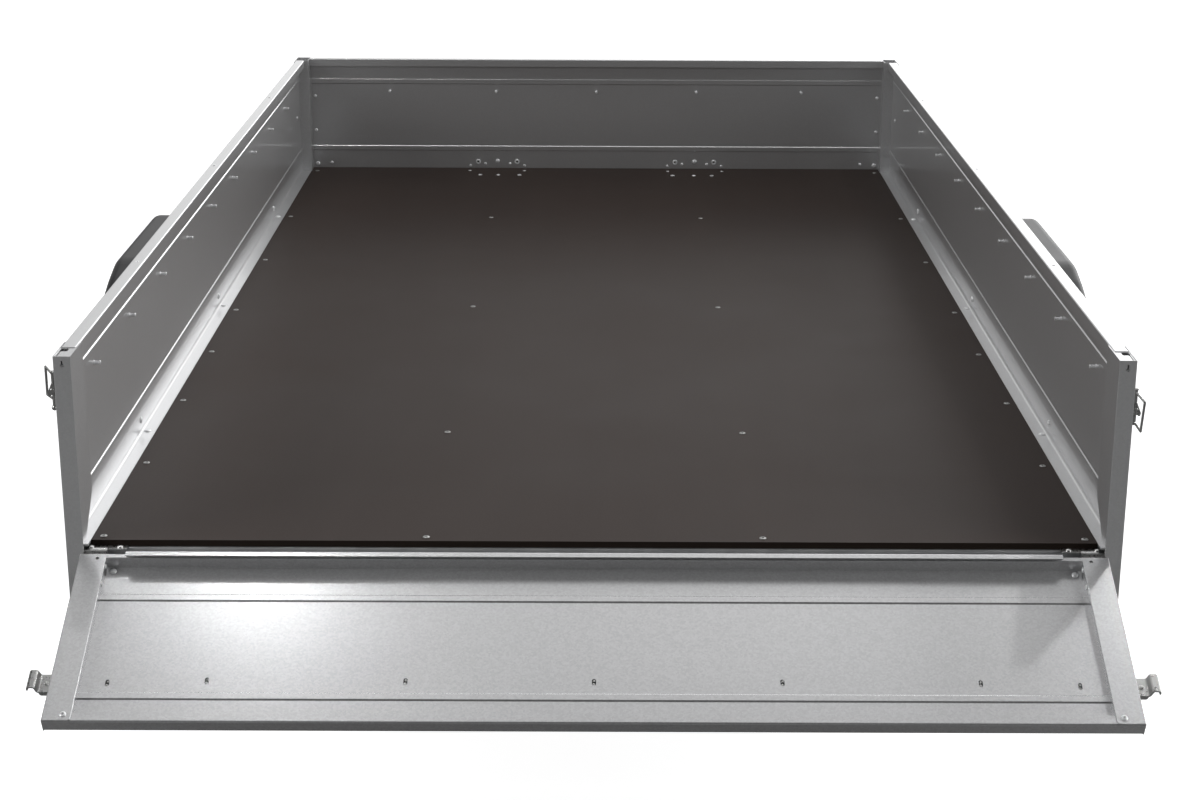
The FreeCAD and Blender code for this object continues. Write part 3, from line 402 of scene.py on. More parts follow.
def plastic(name, base, rough, grain=0.25):
    m = Mat(name)
    n = m.noise(650.0, 2.0)
    d = m.noise(6.0, 4.0)
    c = m.mix(m.span(d, 0.0, 1.0, 0.35, 0.7), base, tuple(k * 1.25 for k in base))
    m.set(color=c, rough=m.span(d, rough - 0.04, rough + 0.05), spec=0.4, normal=m.bump(n, grain, 0.0003))
    return m.m


def lens(name, base, rough=0.12):
    m = Mat(name)
    sx = m.nt.nodes.new("ShaderNodeSeparateXYZ")
    m.link(m.tc.outputs["Object"], sx.inputs[0])
    # moulded prisms behind a smooth face
    a = m.math("SINE", m.math("MULTIPLY", sx.outputs["X"], 1600.0))
    b = m.math("SINE", m.math("MULTIPLY", sx.outputs["Z"], 1600.0))
    g = m.math("MULTIPLY", a, b)
    c = m.mix(m.span(g, 0.0, 1.0, -1.0, 1.0), tuple(k * 0.72 for k in base), base)
    m.set(color=c, rough=rough, spec=0.6, normal=m.bump(g, 0.12, 0.0004), coat=0.6, coat_rough=0.04)
    return m.m


def tail_lens(name):
    """One moulding in three colours: amber outside, red in the middle, clear inside."""
    m = Mat(name)
    sx = m.nt.nodes.new("ShaderNodeSeparateXYZ")
    m.link(m.tc.outputs["Object"], sx.inputs[0])
    x = m.math("ABSOLUTE", sx.outputs["X"])
    a = m.math("SINE", m.math("MULTIPLY", sx.outputs["X"], 1800.0))
    b = m.math("SINE", m.math("MULTIPLY", sx.outputs["Z"], 1800.0))
    g = m.math("MULTIPLY", a, b)
    red, amber, clear = (0.42, 0.008, 0.008), (0.85, 0.24, 0.01), (0.72, 0.72, 0.72)
    c = m.mix(m.math("GREATER_THAN", x, 0.708), clear, red)
    c = m.mix(m.math("GREATER_THAN", x, 0.812), c, amber)
    c = m.mix(m.span(g, 0.0, 0.35, -1.0, 1.0), c, (0.02, 0.01, 0.01))
    m.set(color=c, rough=0.12, spec=0.6, normal=m.bump(g, 0.12, 0.0004), coat=0.6, coat_rough=0.04)
    return m.m


def plywood(name):
    m = Mat(name)
    nrm = m.nt.nodes.new("ShaderNodeSeparateXYZ")
    m.link(m.tc.outputs["Normal"], nrm.inputs[0])
    pos = m.nt.nodes.new("ShaderNodeSeparateXYZ")
    m.link(m.tc.outputs["Object"], pos.inputs[0])
    face = m.math("GREATER_THAN", m.math("ABSOLUTE", nrm.outputs["Z"]), 0.5)
    cloud = m.noise(1.6, 4.0, 0.6)
    grain = m.noise(9.0, 5.0, 0.6, (1.0, 0.12, 1.0))
    fine = m.noise(240.0, 2.0)
    film = m.mix(m.span(cloud, 0.0, 1.0, 0.3, 0.75), FILM_A, FILM_B)
    film = m.mix(m.span(grain, 0.0, 0.35, 0.35, 0.75), film, FILM_C)
    film = m.mix(m.span(fine, 0.0, 0.25, 0.3, 0.7), film, (0.06, 0.05, 0.045))
    layer = m.math("SINE", m.math("MULTIPLY", pos.outputs["Z"], 2 * math.pi / 0.0024))
    edge = m.mix(m.span(layer, 0.0, 1.0, -1.0, 1.0), (0.016, 0.012, 0.010), (0.030, 0.022, 0.018))
    c = m.mix(face, edge, film)
    # fine woven-wire pattern pressed into the film
    k = 2 * math.pi / 0.0028
    wx = m.math("SINE", m.math("MULTIPLY", pos.outputs["X"], k))
    wy = m.math("SINE", m.math("MULTIPLY", pos.outputs["Y"], k))
    mesh = m.math("MULTIPLY", wx, wy)
    n1 = m.bump(m.noise(2.6, 2.0), 0.25, 0.004)
    n2 = m.bump(mesh, 0.06, 0.0003, n1)
    r = m.span(cloud, 0.36, 0.44, 0.3, 0.75)
    m.set(color=c, rough=r, spec=0.035, normal=n2)
    return m.m


def painted(name, base, rough):
    m = Mat(name)
    n = m.noise(40.0, 3.0)
    c = m.mix(m.span(n, 0.0, 0.5), base, tuple(k * 0.93 for k in base))
    m.set(color=c, rough=m.span(n, rough - 0.03, rough + 0.03), spec=0.5, normal=m.bump(n, 0.04, 0.0003))
    return m.m


FILM_A, FILM_B, FILM_C = (0.038, 0.0275, 0.0240), (0.046, 0.0335, 0.0290), (0.031, 0.0225, 0.0195)

SHEET = galvanised("galvanised_sheet", 0.72, 0.31, 0.020, 0.50, 0.0006, vary=0.006)
# front wall: the side walls' galvanised sheet with a darker base, painted shade for a wall that faces away from the
# main light
SHEET_FRONT_SHADED = galvanised("galvanised_front_painted_shade", 0.62, 0.30, 0.020, 0.50, 0.0005, vary=0.006)
POST = galvanised("galvanised_post", 0.66, 0.36, 0.030, 0.40, 0.0008)
GATEM = galvanised("galvanised_gate", 0.66, 0.25, 0.080, 0.50, 0.0005)
DIPPED = cast_steel("hot_dip_steel", 0.42, 0.5)
PLATED = plated("zinc_plated", 0.68, 0.28)
HOOKM = plated("zinc_plated_hooks", 0.48, 0.30)
# heads of bolts, rivets and hook studs: real zinc, but made near-white and only partly metallic as a painted highlight
# for the glints they catch
HEADS_PAINTED_HIGHLIGHT = galvanised("zinc_painted_highlight", 0.92, 0.30, 0.020, 0.60, 0.0002, metal=0.35)
DULL = plated("zinc_dull", 0.40, 0.42)
# near-black fill that stands for painted shade in holes, not a real material
SHADE_FILL = plastic("painted_shade_recess", (0.012, 0.012, 0.012), 0.7, 0.1)
PLY = plywood("film_faced_plywood")
TYRE = rubber("tyre_rubber", 0.016, 0.62)
JRUBBER = rubber("jockey_rubber", 0.02, 0.6)
SILVER = painted("rim_silver", (0.52, 0.53, 0.54), 0.33)
BLACK = plastic("black_plastic", (0.013, 0.013, 0.014), 0.42)
GUARD = plastic("mudguard_plastic", (0.030, 0.030, 0.032), 0.42)
REDL = lens("red_lens", (0.5, 0.01, 0.01))
AMBER = lens("amber_reflector", (0.85, 0.22, 0.01))
CLEAR = lens("white_lens", (0.75, 0.75, 0.76))
TAIL = tail_lens("tail_lens")
PLATE = painted("plate_blank", (0.8, 0.8, 0.78), 0.3)

LOOK = {
    SHEET: ["left_side_wall", "right_side_wall"],
    SHEET_FRONT_SHADED: ["front_wall"],
    POST: ["left_rear_post", "right_rear_post", "front_posts"],
    GATEM: ["tailgate", "tailgate_side_rails"],
    DIPPED: ["left_side_sill", "right_side_sill", "crossmembers", "rear_crossmember", "front_crossmember", "left_drawbar_arm",
             "right_drawbar_arm", "drawbar_brackets", "drawbar_plate", "axle_beam", "axle_brackets", "swing_arms",
             "mudguard_brackets", "rear_light_bar"],
    HOOKM: ["tailgate_hooks", "tailgate_latches"],
    PLATED: ["tailgate_hinges", "jockey_outer_tube", "jockey_inner_tube", "jockey_fork",
             "jockey_clamp", "jockey_crank", "coupling_head", "left_hub", "right_hub"],
    GUARD: ["left_mudguard", "right_mudguard"],
    BLACK: ["rear_lamps", "coupling_handle"],
    PLY: ["floor_panel"],
    SILVER: ["left_rim", "right_rim", "jockey_rim"],
    TYRE: ["left_tyre", "right_tyre"],
    JRUBBER: ["jockey_tyre"],
    TAIL: ["rear_lamp_lenses"],
    AMBER: ["side_reflectors"],
    CLEAR: ["front_markers"],
    PLATE: ["number_plate"],
}
for mat, names in LOOK.items():
    for n in names:
        o = nodes[n]
        if not o.material_slots:
            o.data.materials.append(mat)
        for s in o.material_slots:
            s.material = mat

# ---------------------------------------------------------------------------
# Fastenings in the load space
# ---------------------------------------------------------------------------
UP = Vector((0, 0, 1))
SCREW = [(0, -0.8), (6.5, -0.8), (6.5, 0.5), (6.0, 1.1), (5.0, 1.5), (2.9, 1.7), (2.6, 0.2), (0, 0.2)]
RIVET = [(0, -0.5), (6.0, -0.5), (6.0, 0.5), (5.3, 1.5), (3.8, 2.3), (2.5, 2.4), (2.1, 1.9), (2.0, 0.0), (0, 0.0)]

p = Piece()
for sx in (-1, 1):
    for y in (42, 443, 850, 1221, 1586, 2094, 2613, 3262):
        p.lathe(P(sx * 886, y, 0), UP, SCREW, 24)
for x in (-304, 304):
    for y in (42, 641, 1626, 2610):
        p.lathe(P(x, y, 0), UP, SCREW, 24)
p.make("floor_screws", "chassis", [DULL], "zinc_plated")

p = Piece()
for sx in (-1, 1):
    for y in (641, 1626, 2610):
        p.lathe(P(sx * 922.5, y, 0), UP, dome(7.5, 3.6), 24)
        p.lathe(P(sx * 934.5, y, 24), (-sx, 0, 0), dome(7.5, 3.6), 24)
        p.lathe(P(sx * 943.5, y, 24), (sx, 0, 0), disc(9.0, 1.6), 24)
        p.slab(hexagon(7.5), P(sx * 945.0, y, 24), (0, 1, 0), (0, 0, 1), (sx * 6.0, 0, 0))
    p.lathe(P(sx * 934.5, 3187, 182), (-sx, 0, 0), dome(6.0, 3.0), 20)
p.make("wall_foot_bolts", "chassis", [HEADS_PAINTED_HIGHLIGHT], "zinc_plated")

# rivets along the top rails
p = Piece()
for sx in (-1, 1):
    for y in (680, 1640, 2600):
        p.lathe(P(sx * 931, y, 350), UP, disc(4.0, 1.2), 20)
p.make("rail_rivets", "chassis", [HEADS_PAINTED_HIGHLIGHT], "zinc_plated")

# cover hooks: a blind rivet's shank inside the wall, a moulded hook outside
HOOK_Y = tuple(262 + 331.7 * k for k in range(9))
STUD = [(0, -0.8), (4.6, -0.8), (4.6, 0.6), (4.2, 1.0), (3.2, 1.2), (3.1, 9.6), (3.9, 10.8), (4.0, 12.2), (3.0, 13.0), (0, 13.1)]
HOOK_X = (-655, -318, 0, 317, 650)
heads, hooks = Piece(), Piece()


def cover_hook(p, at, out, up):
    """A moulded hook with its open side down; at is where its back meets the sheet."""
    u, v, w = axes(out, up)
    base = rrect(-11, -17, 11, 17, 5)
    p.slab(base, at, u, v, w * 3.0)
    # hook in the plane of out and up: from the base out and down
    prof = [(2.0, 12.0), (9.0, 12.0), (13.5, 8.0), (15.0, 2.0), (15.0, -14.0), (12.0, -17.0), (10.0, -14.0), (10.0, 0.0), (7.5, 4.0), (2.0, 4.5)]
    p.slab([(a, b) for a, b in prof], at - u * 0.0055, w, v, u * 11.0)


for sx in (-1, 1):
    for y in HOOK_Y:
        heads.lathe(P(sx * 934.5, y, 261), (-sx, 0, 0), STUD, 20)
        cover_hook(hooks, P(sx * 936.5, y, 261), (sx, 0, 0), (0, 0, 1))
for x in HOOK_X:
    heads.lathe(P(x, 3321, 246), (0, -1, 0), STUD, 20)
    cover_hook(hooks, P(x, 3323, 246), (0, 1, 0), (0, 0, 1))
heads.make("cover_hook_heads", "chassis", [HEADS_PAINTED_HIGHLIGHT], "zinc_plated")
hooks.make("cover_hooks", "chassis", [BLACK], "black_plastic", bevel=0.6)

# front wall: drawbar bolts, corner bolts
p = Piece()
B = Vector((0, -1, 0))
for sx in (-1, 1):
    for dx in (-62, 62):
        p.ring(P(sx * 315 + dx, 3321, 20), B, [(2.6, 0.6), (2.6, -0.4), (8.0, -0.4), (8.0, 1.8), (7.2, 2.6), (3.4, 2.6)], 24)
    p.lathe(P(sx * 315, 3321, 22), B, dome(7.0, 4.0), 24)
    for dx in (-39.5, 39.5):
        p.lathe(P(sx * 315 + dx, 3321, 13.5), B, dome(4.5, 2.6), 20)
    for dx in (-86.5, 86.5):
        p.lathe(P(sx * 315 + dx, 3321, 7.4), B, dome(4.0, 1.6), 18)
        p.lathe(P(sx * 315 + dx, 3275, 0), UP, disc(5.0, 0.9), 18)
    for x, z, r in ((892, 229, 5.0), (893, 120, 5.0), (891, 12, 7.0), (846, 15, 5.0)):
        p.lathe(P(sx * x, 3321, z), B, dome(r, r * 0.55), 20)
    for x in (242, 309, 366):
        p.lathe(P(sx * x, 3209, 0), UP, SCREW, 24)
p.make("front_wall_bolts", "chassis", [HEADS_PAINTED_HIGHLIGHT], "zinc_plated")

# near-black discs in the bores of the front-wall nuts: painted shade in the holes
p = Piece()
for sx in (-1, 1):
    for dx in (-62, 62):
        p.lathe(P(sx * 315 + dx, 3321, 20), B, disc(2.9, 0.5), 16)
p.make("front_wall_bolt_painted_shade", "chassis", [SHADE_FILL], "black_plastic")

# hinge leaf bolts
p = Piece()
for sx in (-1, 1):
    for x, y in ((903, 12.5), (851, 12.8)):
        p.lathe(P(sx * x, y, -10.0), UP, dome(6.0, 3.2), 22)
    for x in (883, 903):
        p.lathe(P(sx * x, -1.0, -38), B, dome(6.0, 3.2), 22)
p.make("hinge_bolts", "chassis", [PLATED], "zinc_plated")

# ---------------------------------------------------------------------------
# Tailgate fastenings (they ride on the tailgate)
# ---------------------------------------------------------------------------
INW = -GD
p = Piece()
for sx in (-1, 1):
    p.lathe(G(sx * 883, 366, 0.0), INW, RIVET, 24)
    p.lathe(G(sx * 856.0, 26.0, 17.5), INW, dome(6.0, 3.4), 22)
    for t in (24.0, 66.0):
        p.lathe(G(sx * 869.0, t, 6.5), (-sx, 0, 0), dome(5.0, 2.6), 18)
p.make("gate_rivets", "tailgate", [HEADS_PAINTED_HIGHLIGHT], "zinc_plated")

SLOTS = ((-825, 283), (-657, 277.5), (-320, 277.5), (0, 277.5), (320, 277.5), (657, 277.5), (825, 283))
p, q = Piece(), Piece()
for x, t in SLOTS:
    for dt in (-3.6, 3.6):
        p.lathe(G(x + (0.6 if dt < 0 else -0.4), t + dt, 18.9), INW, [(0, -1.5), (2.1, -1.5), (2.1, 0.2), (1.5, 0.9), (0, 1.2)], 16)
    q.slab(rrect(-6, -11, 6, 11, 4), G(x, t, 19.5), (1, 0, 0), GT, GD * 1.4)
    cover_hook(q, G(x, t, 20.9), GD, GT)
p.make("gate_slot_studs", "tailgate", [PLATED], "zinc_plated")
q.make("gate_cover_hooks", "tailgate", [BLACK], "black_plastic", bevel=0.5)

# bolts of the hook plates
p = Piece()
for sx in (-1, 1):
    p.lathe(G(sx * 926.8, 289, 13.0), INW, disc(5.2, 0.8), 20)
    p.lathe(G(sx * 926.8, 289, 13.0), INW, dome(3.8, 3.2), 20)
p.make("hook_bolts", "tailgate", [PLATED], "zinc_plated")

# ---------------------------------------------------------------------------
# Latches
# ---------------------------------------------------------------------------
p = Piece()
for sx, zc in ((1, 256.0), (-1, 300.0)):
    for z in (zc - 34, zc + 14):
        p.lathe(P(sx * 948.0, 56, z), (sx, 0, 0), dome(5.0, 2.8), 20)
p.make("latch_bolts", "chassis", [PLATED], "zinc_plated")

# plate, pin with a knob, lever and bail of each latch
p = Piece()
for sx, zc, top, low, otop, olow, knob in ((1, 256.0, (957, 42, 280), (957, 42, 225), (967.5, 16, 269), (964, 16, 215), 243.0),
                                           (-1, 300.0, (957, 42, 304), (957, 42, 258), (974, 62, 313), (974, 62, 261), 243.4)):
    p.slab(rrect(22, zc - 42, 62, zc + 22, 6), P(sx * 945, 0, 0), (0, 1, 0), (0, 0, 1), (sx * 3.0, 0, 0))
    mid = (top[2] + low[2]) / 2
    p.slab(rrect(-7, -15, 7, 15, 3), P(sx * 947.9, 42, mid), (0, 1, 0), (0, 0, 1), (sx * 6.0, 0, 0))
    n0, n1 = min(knob, low[2] - 6.0), top[2] + 6.0
    p.lathe(P(sx * 957, 42, n0), UP, [(0, 0), (3.6, 0), (3.6, n1 - n0 - 2.5), (4.8, n1 - n0 - 2.0), (4.8, n1 - n0), (3.0, n1 - n0 + 1.2), (0, n1 - n0 + 1.4)], 20)
    rk = 5.4 if sx < 0 else 6.6
    p.lathe(P(sx * 957.5, 41.5, knob), UP, [(0, -rk)] + [(rk * math.cos(a), rk * math.sin(a)) for a in (-1.2, -0.8, -0.4, 0.0, 0.4, 0.8, 1.2)] + [(0, rk)], 20)
    p.tube(bent([P(sx * q[0], q[1], q[2]) for q in (top, otop, olow, low)], 0.0065), 2.3, 14)
    # lever: a tapered plate that leaves the pin towards the bail
    zl = mid - 8.0
    p.slab([(-2.0, zl + 16), (2.5, zl + 17), (10.5, zl - 2), (9.5, zl - 7), (6.5, zl - 8), (-2.0, zl - 1)], P(sx * 957, 39.5, 0), (sx, 0, 0), (0, 0, 1), (0, -3.2, 0))
    p.lathe(P(sx * 958.5, 36.5, zl + 4), B, dome(4.0, 2.2), 18)
p.make("latch_pieces", "chassis", [HOOKM], "zinc_plated", replaces=("tailgate_latches",))

# rivet ends that show in the keyholes of the rear posts
p = Piece()
for sx in (-1, 1):
    p.lathe(P(sx * 930.6, 3.4, 332.0), (0, -1, 0), dome(2.5, 1.4), 18)
p.make("keyhole_rivets", "chassis", [HEADS_PAINTED_HIGHLIGHT], "zinc_plated")

# ---------------------------------------------------------------------------
# Tyres with their tread
# ---------------------------------------------------------------------------
WHEEL = (1622.0, -202.0)
TRACK = 1045.0


def tyre(sx, body, node):
    side = [(63.9, 172.0), (63.9, 174.5), (66.4, 180.0), (68.4, 184.6), (71.2, 190.5), (74.6, 196.0), (76.4, 201.0), (78.2, 209.0),
            (80.0, 217.0), (81.2, 225.0), (82.6, 226.0), (83.2, 231.0), (83.2, 239.0), (82.4, 243.5), (80.8, 245.0), (79.8, 252.0),
            (78.2, 260.0), (76.6, 268.0), (75.4, 274.0), (74.4, 279.0), (72.8, 284.0), (70.0, 289.0), (66.4, 292.8), (62.0, 295.6)]
    tread = [57.5, 52.0, 46.0, 40.5, 36.2, 35.2, 28.8, 27.8, 22.0, 16.0, 10.0, 4.2, 3.2]
    half = [(x, r, False) for x, r in side] + [(x, 298.0 - 1.4 * (x / 60.0) ** 2, True) for x in tread]
    prof = half + [(-x, r, f) for x, r, f in reversed(half)]
    pitches = 58
    part = [(0.0, 0), (0.035, 1), (0.17, 1), (0.205, 0), (0.40, 0), (0.60, 0), (0.80, 0)]
    verts, faces = [], []
    m = len(prof)
    cols = [(k + a, g) for k in range(pitches) for a, g in part]
    for c, g in cols:
        for k, (x, r, on) in enumerate(prof):
            ax = min(abs(x), 60.0)
            sk = 0.0115 * (ax / 60.0) ** 0.8 * 2.2
            a = 2 * math.pi * c / pitches + (sk if x > 0 else -sk)
            rr = r
            if on:
                b = abs(x)
                if 28.0 < b < 36.0 and b not in (27.8, 36.2):
                    rr = r - 7.0
                elif b <= 3.3:
                    rr = r - 7.0
                elif g and b > 36.0:
                    rr = r - 5.8
                elif g and 9.0 < b < 28.5:
                    rr = r - 4.5
            elif g and r > 283.0:
                rr = r - 4.2 * (r - 283.0) / 13.0
            px = TRACK + x
            verts.append(P(sx * px, WHEEL[0] + rr * math.cos(a), WHEEL[1] + rr * math.sin(a)))
    n = len(cols)
    for i in range(n):
        j = (i + 1) % n
        for k in range(m):
            q = (k + 1) % m
            faces.append([i * m + k, i * m + q, j * m + q, j * m + k])
    t = Piece()
    t.put(verts, faces)
    ob = t.make(node + "_tread", body, [TYRE], "tyre_rubber", angle=38, replaces=(node,))
    return ob


tyre(1, "right_wheel", "right_tyre")
tyre(-1, "left_wheel", "left_tyre")

# valve stems
for sx, body, side in ((1, "right_wheel", "right"), (-1, "left_wheel", "left")):
    p = Piece()
    a = math.radians(100)
    at = P(sx * (TRACK + 58), WHEEL[0] + 158 * math.cos(a), WHEEL[1] + 158 * math.sin(a))
    ax = Vector((sx * 0.94, -0.34 * math.cos(a), -0.34 * math.sin(a)))
    p.lathe(at - ax * 0.012, ax, [(0, -4), (7.5, -4), (7.5, 4), (5.2, 8), (4.6, 20), (4.0, 21), (4.0, 30), (3.2, 31.5), (0, 31.5)], 20)
    p.make(side + "_valve_stem", body, [BLACK], "black_plastic")

# ---------------------------------------------------------------------------
# Lamps, plate, mudguards
# ---------------------------------------------------------------------------
p = Piece()
for sx in (-1, 1):
    for x, z in ((660, -160), (870, -160)):
        p.lathe(P(sx * x, -29.4, z), B, [(0, -1), (4.2, -1), (4.2, 1.2), (3.4, 1.9), (1.6, 1.9), (1.4, 0.6), (0, 0.6)], 18)
p.make("lamp_screws", "chassis", [PLATED], "zinc_plated")

p = Piece()
for x in (-225, 225):
    p.lathe(P(x, 14, -160), B, disc(5.0, 2.0), 20)
p.make("plate_screws", "chassis", [BLACK], "black_plastic")

# black holder round the number plate
p = Piece()
outer, inner = rrect(-262, -218, 262, -104, 9, 5), rrect(-255, -211, 255, -111, 5, 5)
n = len(outer)
vv = []
for ring_pts, y in ((outer, 14.5), (outer, 11.2), (inner, 11.2), (inner, 14.5)):
    vv += [P(a, y, b) for a, b in ring_pts]
ff = []
for k in range(4):
    k2 = (k + 1) % 4
    for i in range(n):
        j = (i + 1) % n
        ff.append([k * n + i, k * n + j, k2 * n + j, k2 * n + i])
p.put(vv, ff)
p.make("plate_holder", "chassis", [BLACK], "black_plastic")

p = Piece()
for sx in (-1, 1):
    for dy in (-170, 170):
        for x in (985, 1060):
            p.lathe(P(sx * x, 1622 + dy, 177), UP, dome(7.5, 2.8), 24)
p.make("mudguard_screws", "chassis", [BLACK], "black_plastic")

# ---------------------------------------------------------------------------
# Drawbar, coupling and jockey wheel fittings
# ---------------------------------------------------------------------------
ARM_TOP = -92.0
slope = (315.0 - 30.0) / (4400.0 - 3330.0)


def arm_x(y):
    return 30.0 + (4400.0 - y) * slope


p = Piece()
for y in (4300, 4345):
    for sx in (-1, 1):
        x = 30.0
        p.lathe(P(sx * x, y, ARM_TOP + 8), UP, disc(11, 2.0), 24)
        p.slab(hexagon(9.2), P(sx * x, y, ARM_TOP + 10), (1, 0, 0), (0, 1, 0), (0, 0, 7.5))
        p.lathe(P(sx * x, y, ARM_TOP + 17), UP, disc(5.5, 3.5), 18)
for sx in (-1, 1):
    for y in (2610, 3290):
        for dx in (-14, 14):
            x = arm_x(y) + dx
            p.slab(hexagon(8.6), P(sx * x, y, ARM_TOP - 60.2), (1, 0, 0), (0, 1, 0), (0, 0, -7.0))
    for dx in (-62, 62):
        p.lathe(P(sx * 315 + sx * dx, 3333.0, 20), (0, 1, 0), disc(10, 1.8, -1.5), 24)
        p.slab(hexagon(8.6), P(sx * 315 + sx * dx, 3334.6, 20), (1, 0, 0), (0, 0, 1), (0, 6.5, 0))
p.make("drawbar_bolts", "chassis", [PLATED], "zinc_plated", bevel=0.4)

# clamp screw with a folding bar
J = 4135.0
p = Piece()
zt = ARM_TOP + 6
p.lathe(P(-30, J + 44, zt + 31), (1, 0, 0), [(0, 0), (5, 0), (5, 64), (0, 64)], 18)
p.slab(hexagon(9), P(-18, J + 44, zt + 31), (0, 1, 0), (0, 0, 1), (-7, 0, 0))
p.tube([P(34, J + 44, zt - 2), P(34, J + 44, zt + 64)], 4.0, 14)
for z in (zt - 2, zt + 64):
    p.lathe(P(34, J + 44, z), UP, [(0, -5), (4, -4), (6, 0), (4, 4), (0, 5)], 16)
p.lathe(P(27, J + 44, zt + 31), (1, 0, 0), [(0, 0), (8, 0), (8, 14), (6, 16), (0, 16)], 20)
p.make("jockey_clamp_screw", "chassis", [PLATED], "zinc_plated")

# ---------------------------------------------------------------------------
# Stage: floor, sky, lights, camera
# ---------------------------------------------------------------------------
me = bpy.data.meshes.new("studio_floor")
S = 60.0
me.from_pydata([(-S, -S, 0), (S, -S, 0), (S, S, 0), (-S, S, 0)], [], [(0, 1, 2, 3)])
floor = bpy.data.objects.new("studio_floor", me)
bpy.context.scene.collection.objects.link(floor)
fm = bpy.data.materials.new("pale_floor")
fm.use_nodes = True
nt = fm.node_tree
nt.nodes.clear()
out = nt.nodes.new("ShaderNodeOutputMaterial")
lp = nt.nodes.new("ShaderNodeLightPath")
pale = nt.nodes.new("ShaderNodeBsdfDiffuse")
pale.inputs["Color"].default_value = (0.55, 0.55, 0.55, 1)
glow = nt.nodes.new("ShaderNodeEmission")
glow.inputs["Color"].default_value = (1, 1, 1, 1)
glow.inputs["Strength"].default_value = 0.95
both = nt.nodes.new("ShaderNodeAddShader")
nt.links.new(pale.outputs[0], both.inputs[0])
nt.links.new(glow.outputs[0], both.inputs[1])
dim = nt.nodes.new("ShaderNodeBsdfDiffuse")
dim.inputs["Color"].default_value = (0.22, 0.22, 0.22, 1)
sel = nt.nodes.new("ShaderNodeMixShader")
nt.links.new(lp.outputs["Is Camera Ray"], sel.inputs[0])
nt.links.new(dim.outputs[0], sel.inputs[1])
nt.links.new(both.outputs[0], sel.inputs[2])
nt.links.new(sel.outputs[0], out.inputs["Surface"])
me.materials.append(fm)

world = bpy.data.worlds.new("studio")
bpy.context.scene.world = world
world.use_nodes = True
nt = world.node_tree
nt.nodes.clear()
out = nt.nodes.new("ShaderNodeOutputWorld")
bg = nt.nodes.new("ShaderNodeBackground")
tc = nt.nodes.new("ShaderNodeTexCoord")
sep = nt.nodes.new("ShaderNodeSeparateXYZ")
nt.links.new(tc.outputs["Generated"], sep.inputs[0])


def wramp(socket, stops, lo=-1.0, hi=1.0):
    mr = nt.nodes.new("ShaderNodeMapRange")
    mr.inputs["From Min"].default_value = lo
    mr.inputs["From Max"].default_value = hi
    nt.links.new(socket, mr.inputs["Value"])
    r = nt.nodes.new("ShaderNodeValToRGB")
    e = r.color_ramp.elements
    while len(e) < len(stops):
        e.new(0.5)
    for k, (pos, c) in enumerate(stops):
        e[k].position = pos
        e[k].color = (c, c, c, 1)
    nt.links.new(mr.outputs["Result"], r.inputs["Fac"])
    return r.outputs["Color"]


def wmix(fac, a, b):
    n = nt.nodes.new("ShaderNodeMix")
    n.data_type = "RGBA"
    nt.links.new(fac, n.inputs[0])
    for k, v in ((6, a), (7, b)):
        if hasattr(v, "is_output"):
            nt.links.new(v, n.inputs[k])
        else:
            n.inputs[k].default_value = (v, v, v, 1)
    return n.outputs[2]


# the room as eight soft parts: behind or ahead, low or high, left or right
ahead = wramp(sep.outputs["Y"], [(0.0, 0.0), (0.3, 0.0), (0.5, 0.25), (0.75, 1.0), (1.0, 1.0)])
high = wramp(sep.outputs["Z"], [(0.0, 0.0), (0.5, 0.0), (0.58, 0.0), (0.68, 0.4), (0.85, 1.0), (1.0, 1.0)])
rightw = wramp(sep.outputs["X"], [(0.0, 0.0), (0.35, 0.0), (0.5, 0.5), (0.65, 1.0), (1.0, 1.0)])
back_low, back_high = wmix(rightw, 0.04, 0.05), wmix(rightw, 0.0, 0.0)
front_low, front_high = wmix(rightw, 0.50, 2.70), wmix(rightw, 0.03, 0.92)
room = wmix(ahead, wmix(high, back_low, back_high), wmix(high, front_low, front_high))
nt.links.new(room, bg.inputs["Color"])
bg.inputs["Strength"].default_value = 1.0
white = nt.nodes.new("ShaderNodeBackground")
white.inputs["Color"].default_value = (1, 1, 1, 1)
lp = nt.nodes.new("ShaderNodeLightPath")
sel = nt.nodes.new("ShaderNodeMixShader")
nt.links.new(lp.outputs["Is Camera Ray"], sel.inputs[0])
nt.links.new(bg.outputs[0], sel.inputs[1])
nt.links.new(white.outputs[0], sel.inputs[2])
nt.links.new(sel.outputs[0], out.inputs["Surface"])


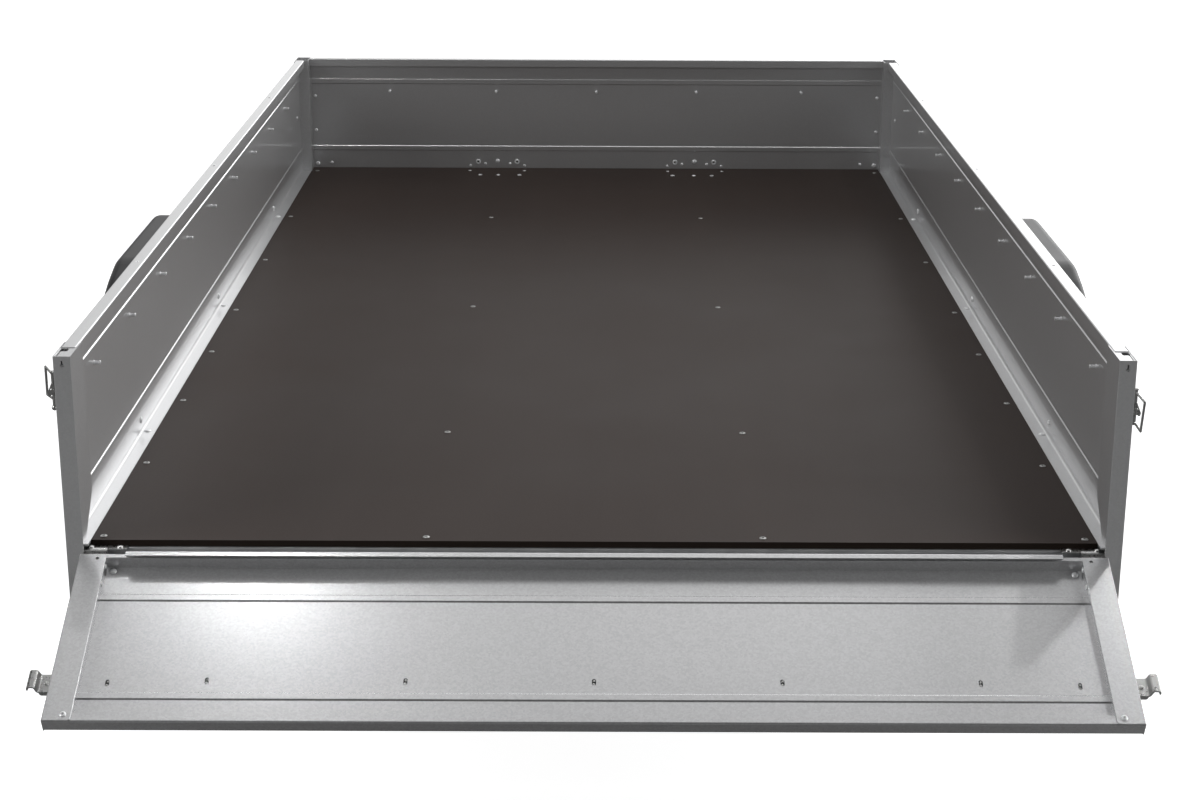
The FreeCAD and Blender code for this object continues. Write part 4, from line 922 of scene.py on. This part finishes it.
def softbox(name, at, aim, w, h, radiance, spread=180.0):
    l = bpy.data.lights.new(name, "AREA")
    l.shape = "RECTANGLE"
    l.size, l.size_y = w, h
    l.energy = radiance * math.pi * w * h
    l.spread = math.radians(spread)
    o = bpy.data.objects.new(name, l)
    o.location = at
    o.rotation_euler = (Vector(aim) - Vector(at)).to_track_quat("-Z", "Y").to_euler()
    o.visible_camera = False
    bpy.context.scene.collection.objects.link(o)
    return o


softbox("ceiling_left", (-1.4, -1.6, 3.9), (-1.4, -1.6, 0.0), 2.0, 3.4, 0.43)
softbox("ceiling_mid", (0.0, -0.8, 3.9), (0.0, -0.8, 0.0), 2.2, 1.8, 0.42)
softbox("right_side", (3.6, -3.4, 2.3), (-0.9, -3.4, 1.3), 2.0, 2.0, 5.0)
softbox("left_side", (-3.6, -3.4, 2.3), (0.9, -3.4, 1.3), 2.0, 2.0, 6.5)
softbox("front_left", (-1.9, 4.2, 4.6), (-0.6, -1.2, 0.5), 1.9, 1.8, 0.55)
softbox("ceiling_front", (0.0, 0.55, 3.9), (0.0, 0.55, 0.0), 4.4, 1.2, 2.2)
softbox("lamp_right", (2.30, -0.52, 4.17), (0.6, -2.3, 0.37), 0.16, 0.16, 145.0)
softbox("lamp_left", (-1.28, -0.57, 4.55), (-0.6, -2.3, 0.4), 0.16, 0.16, 84.0)

cam_data = bpy.data.cameras.new("camera")
cam = bpy.data.objects.new("camera", cam_data)
bpy.context.scene.collection.objects.link(cam)
cam_data.sensor_fit = "HORIZONTAL"
cam_data.sensor_width = 36.0
cam_data.lens = 66.876
cam_data.dof.use_dof = False
cam_data.clip_start, cam_data.clip_end = 0.1, 200.0
rx, ry, rz = 0.3076, 0.0046, 0.0023
fwd = Vector((math.sin(rz) * math.cos(rx), math.cos(rz) * math.cos(rx), -math.sin(rx)))
right = Vector((math.cos(rz), -math.sin(rz), 0))
up = right.cross(fwd)
r2 = right * math.cos(ry) + up * math.sin(ry)
u2 = -right * math.sin(ry) + up * math.cos(ry)
cam.matrix_world = Matrix(((r2.x, u2.x, -fwd.x, 0.0), (r2.y, u2.y, -fwd.y, -3.7205 - 2.09375), (r2.z, u2.z, -fwd.z, 1.9564), (0, 0, 0, 1)))
bpy.context.scene.camera = cam

sc = bpy.context.scene
sc.view_settings.view_transform = "Standard"
sc.view_settings.look = "None"
sc.cycles.use_denoising = True
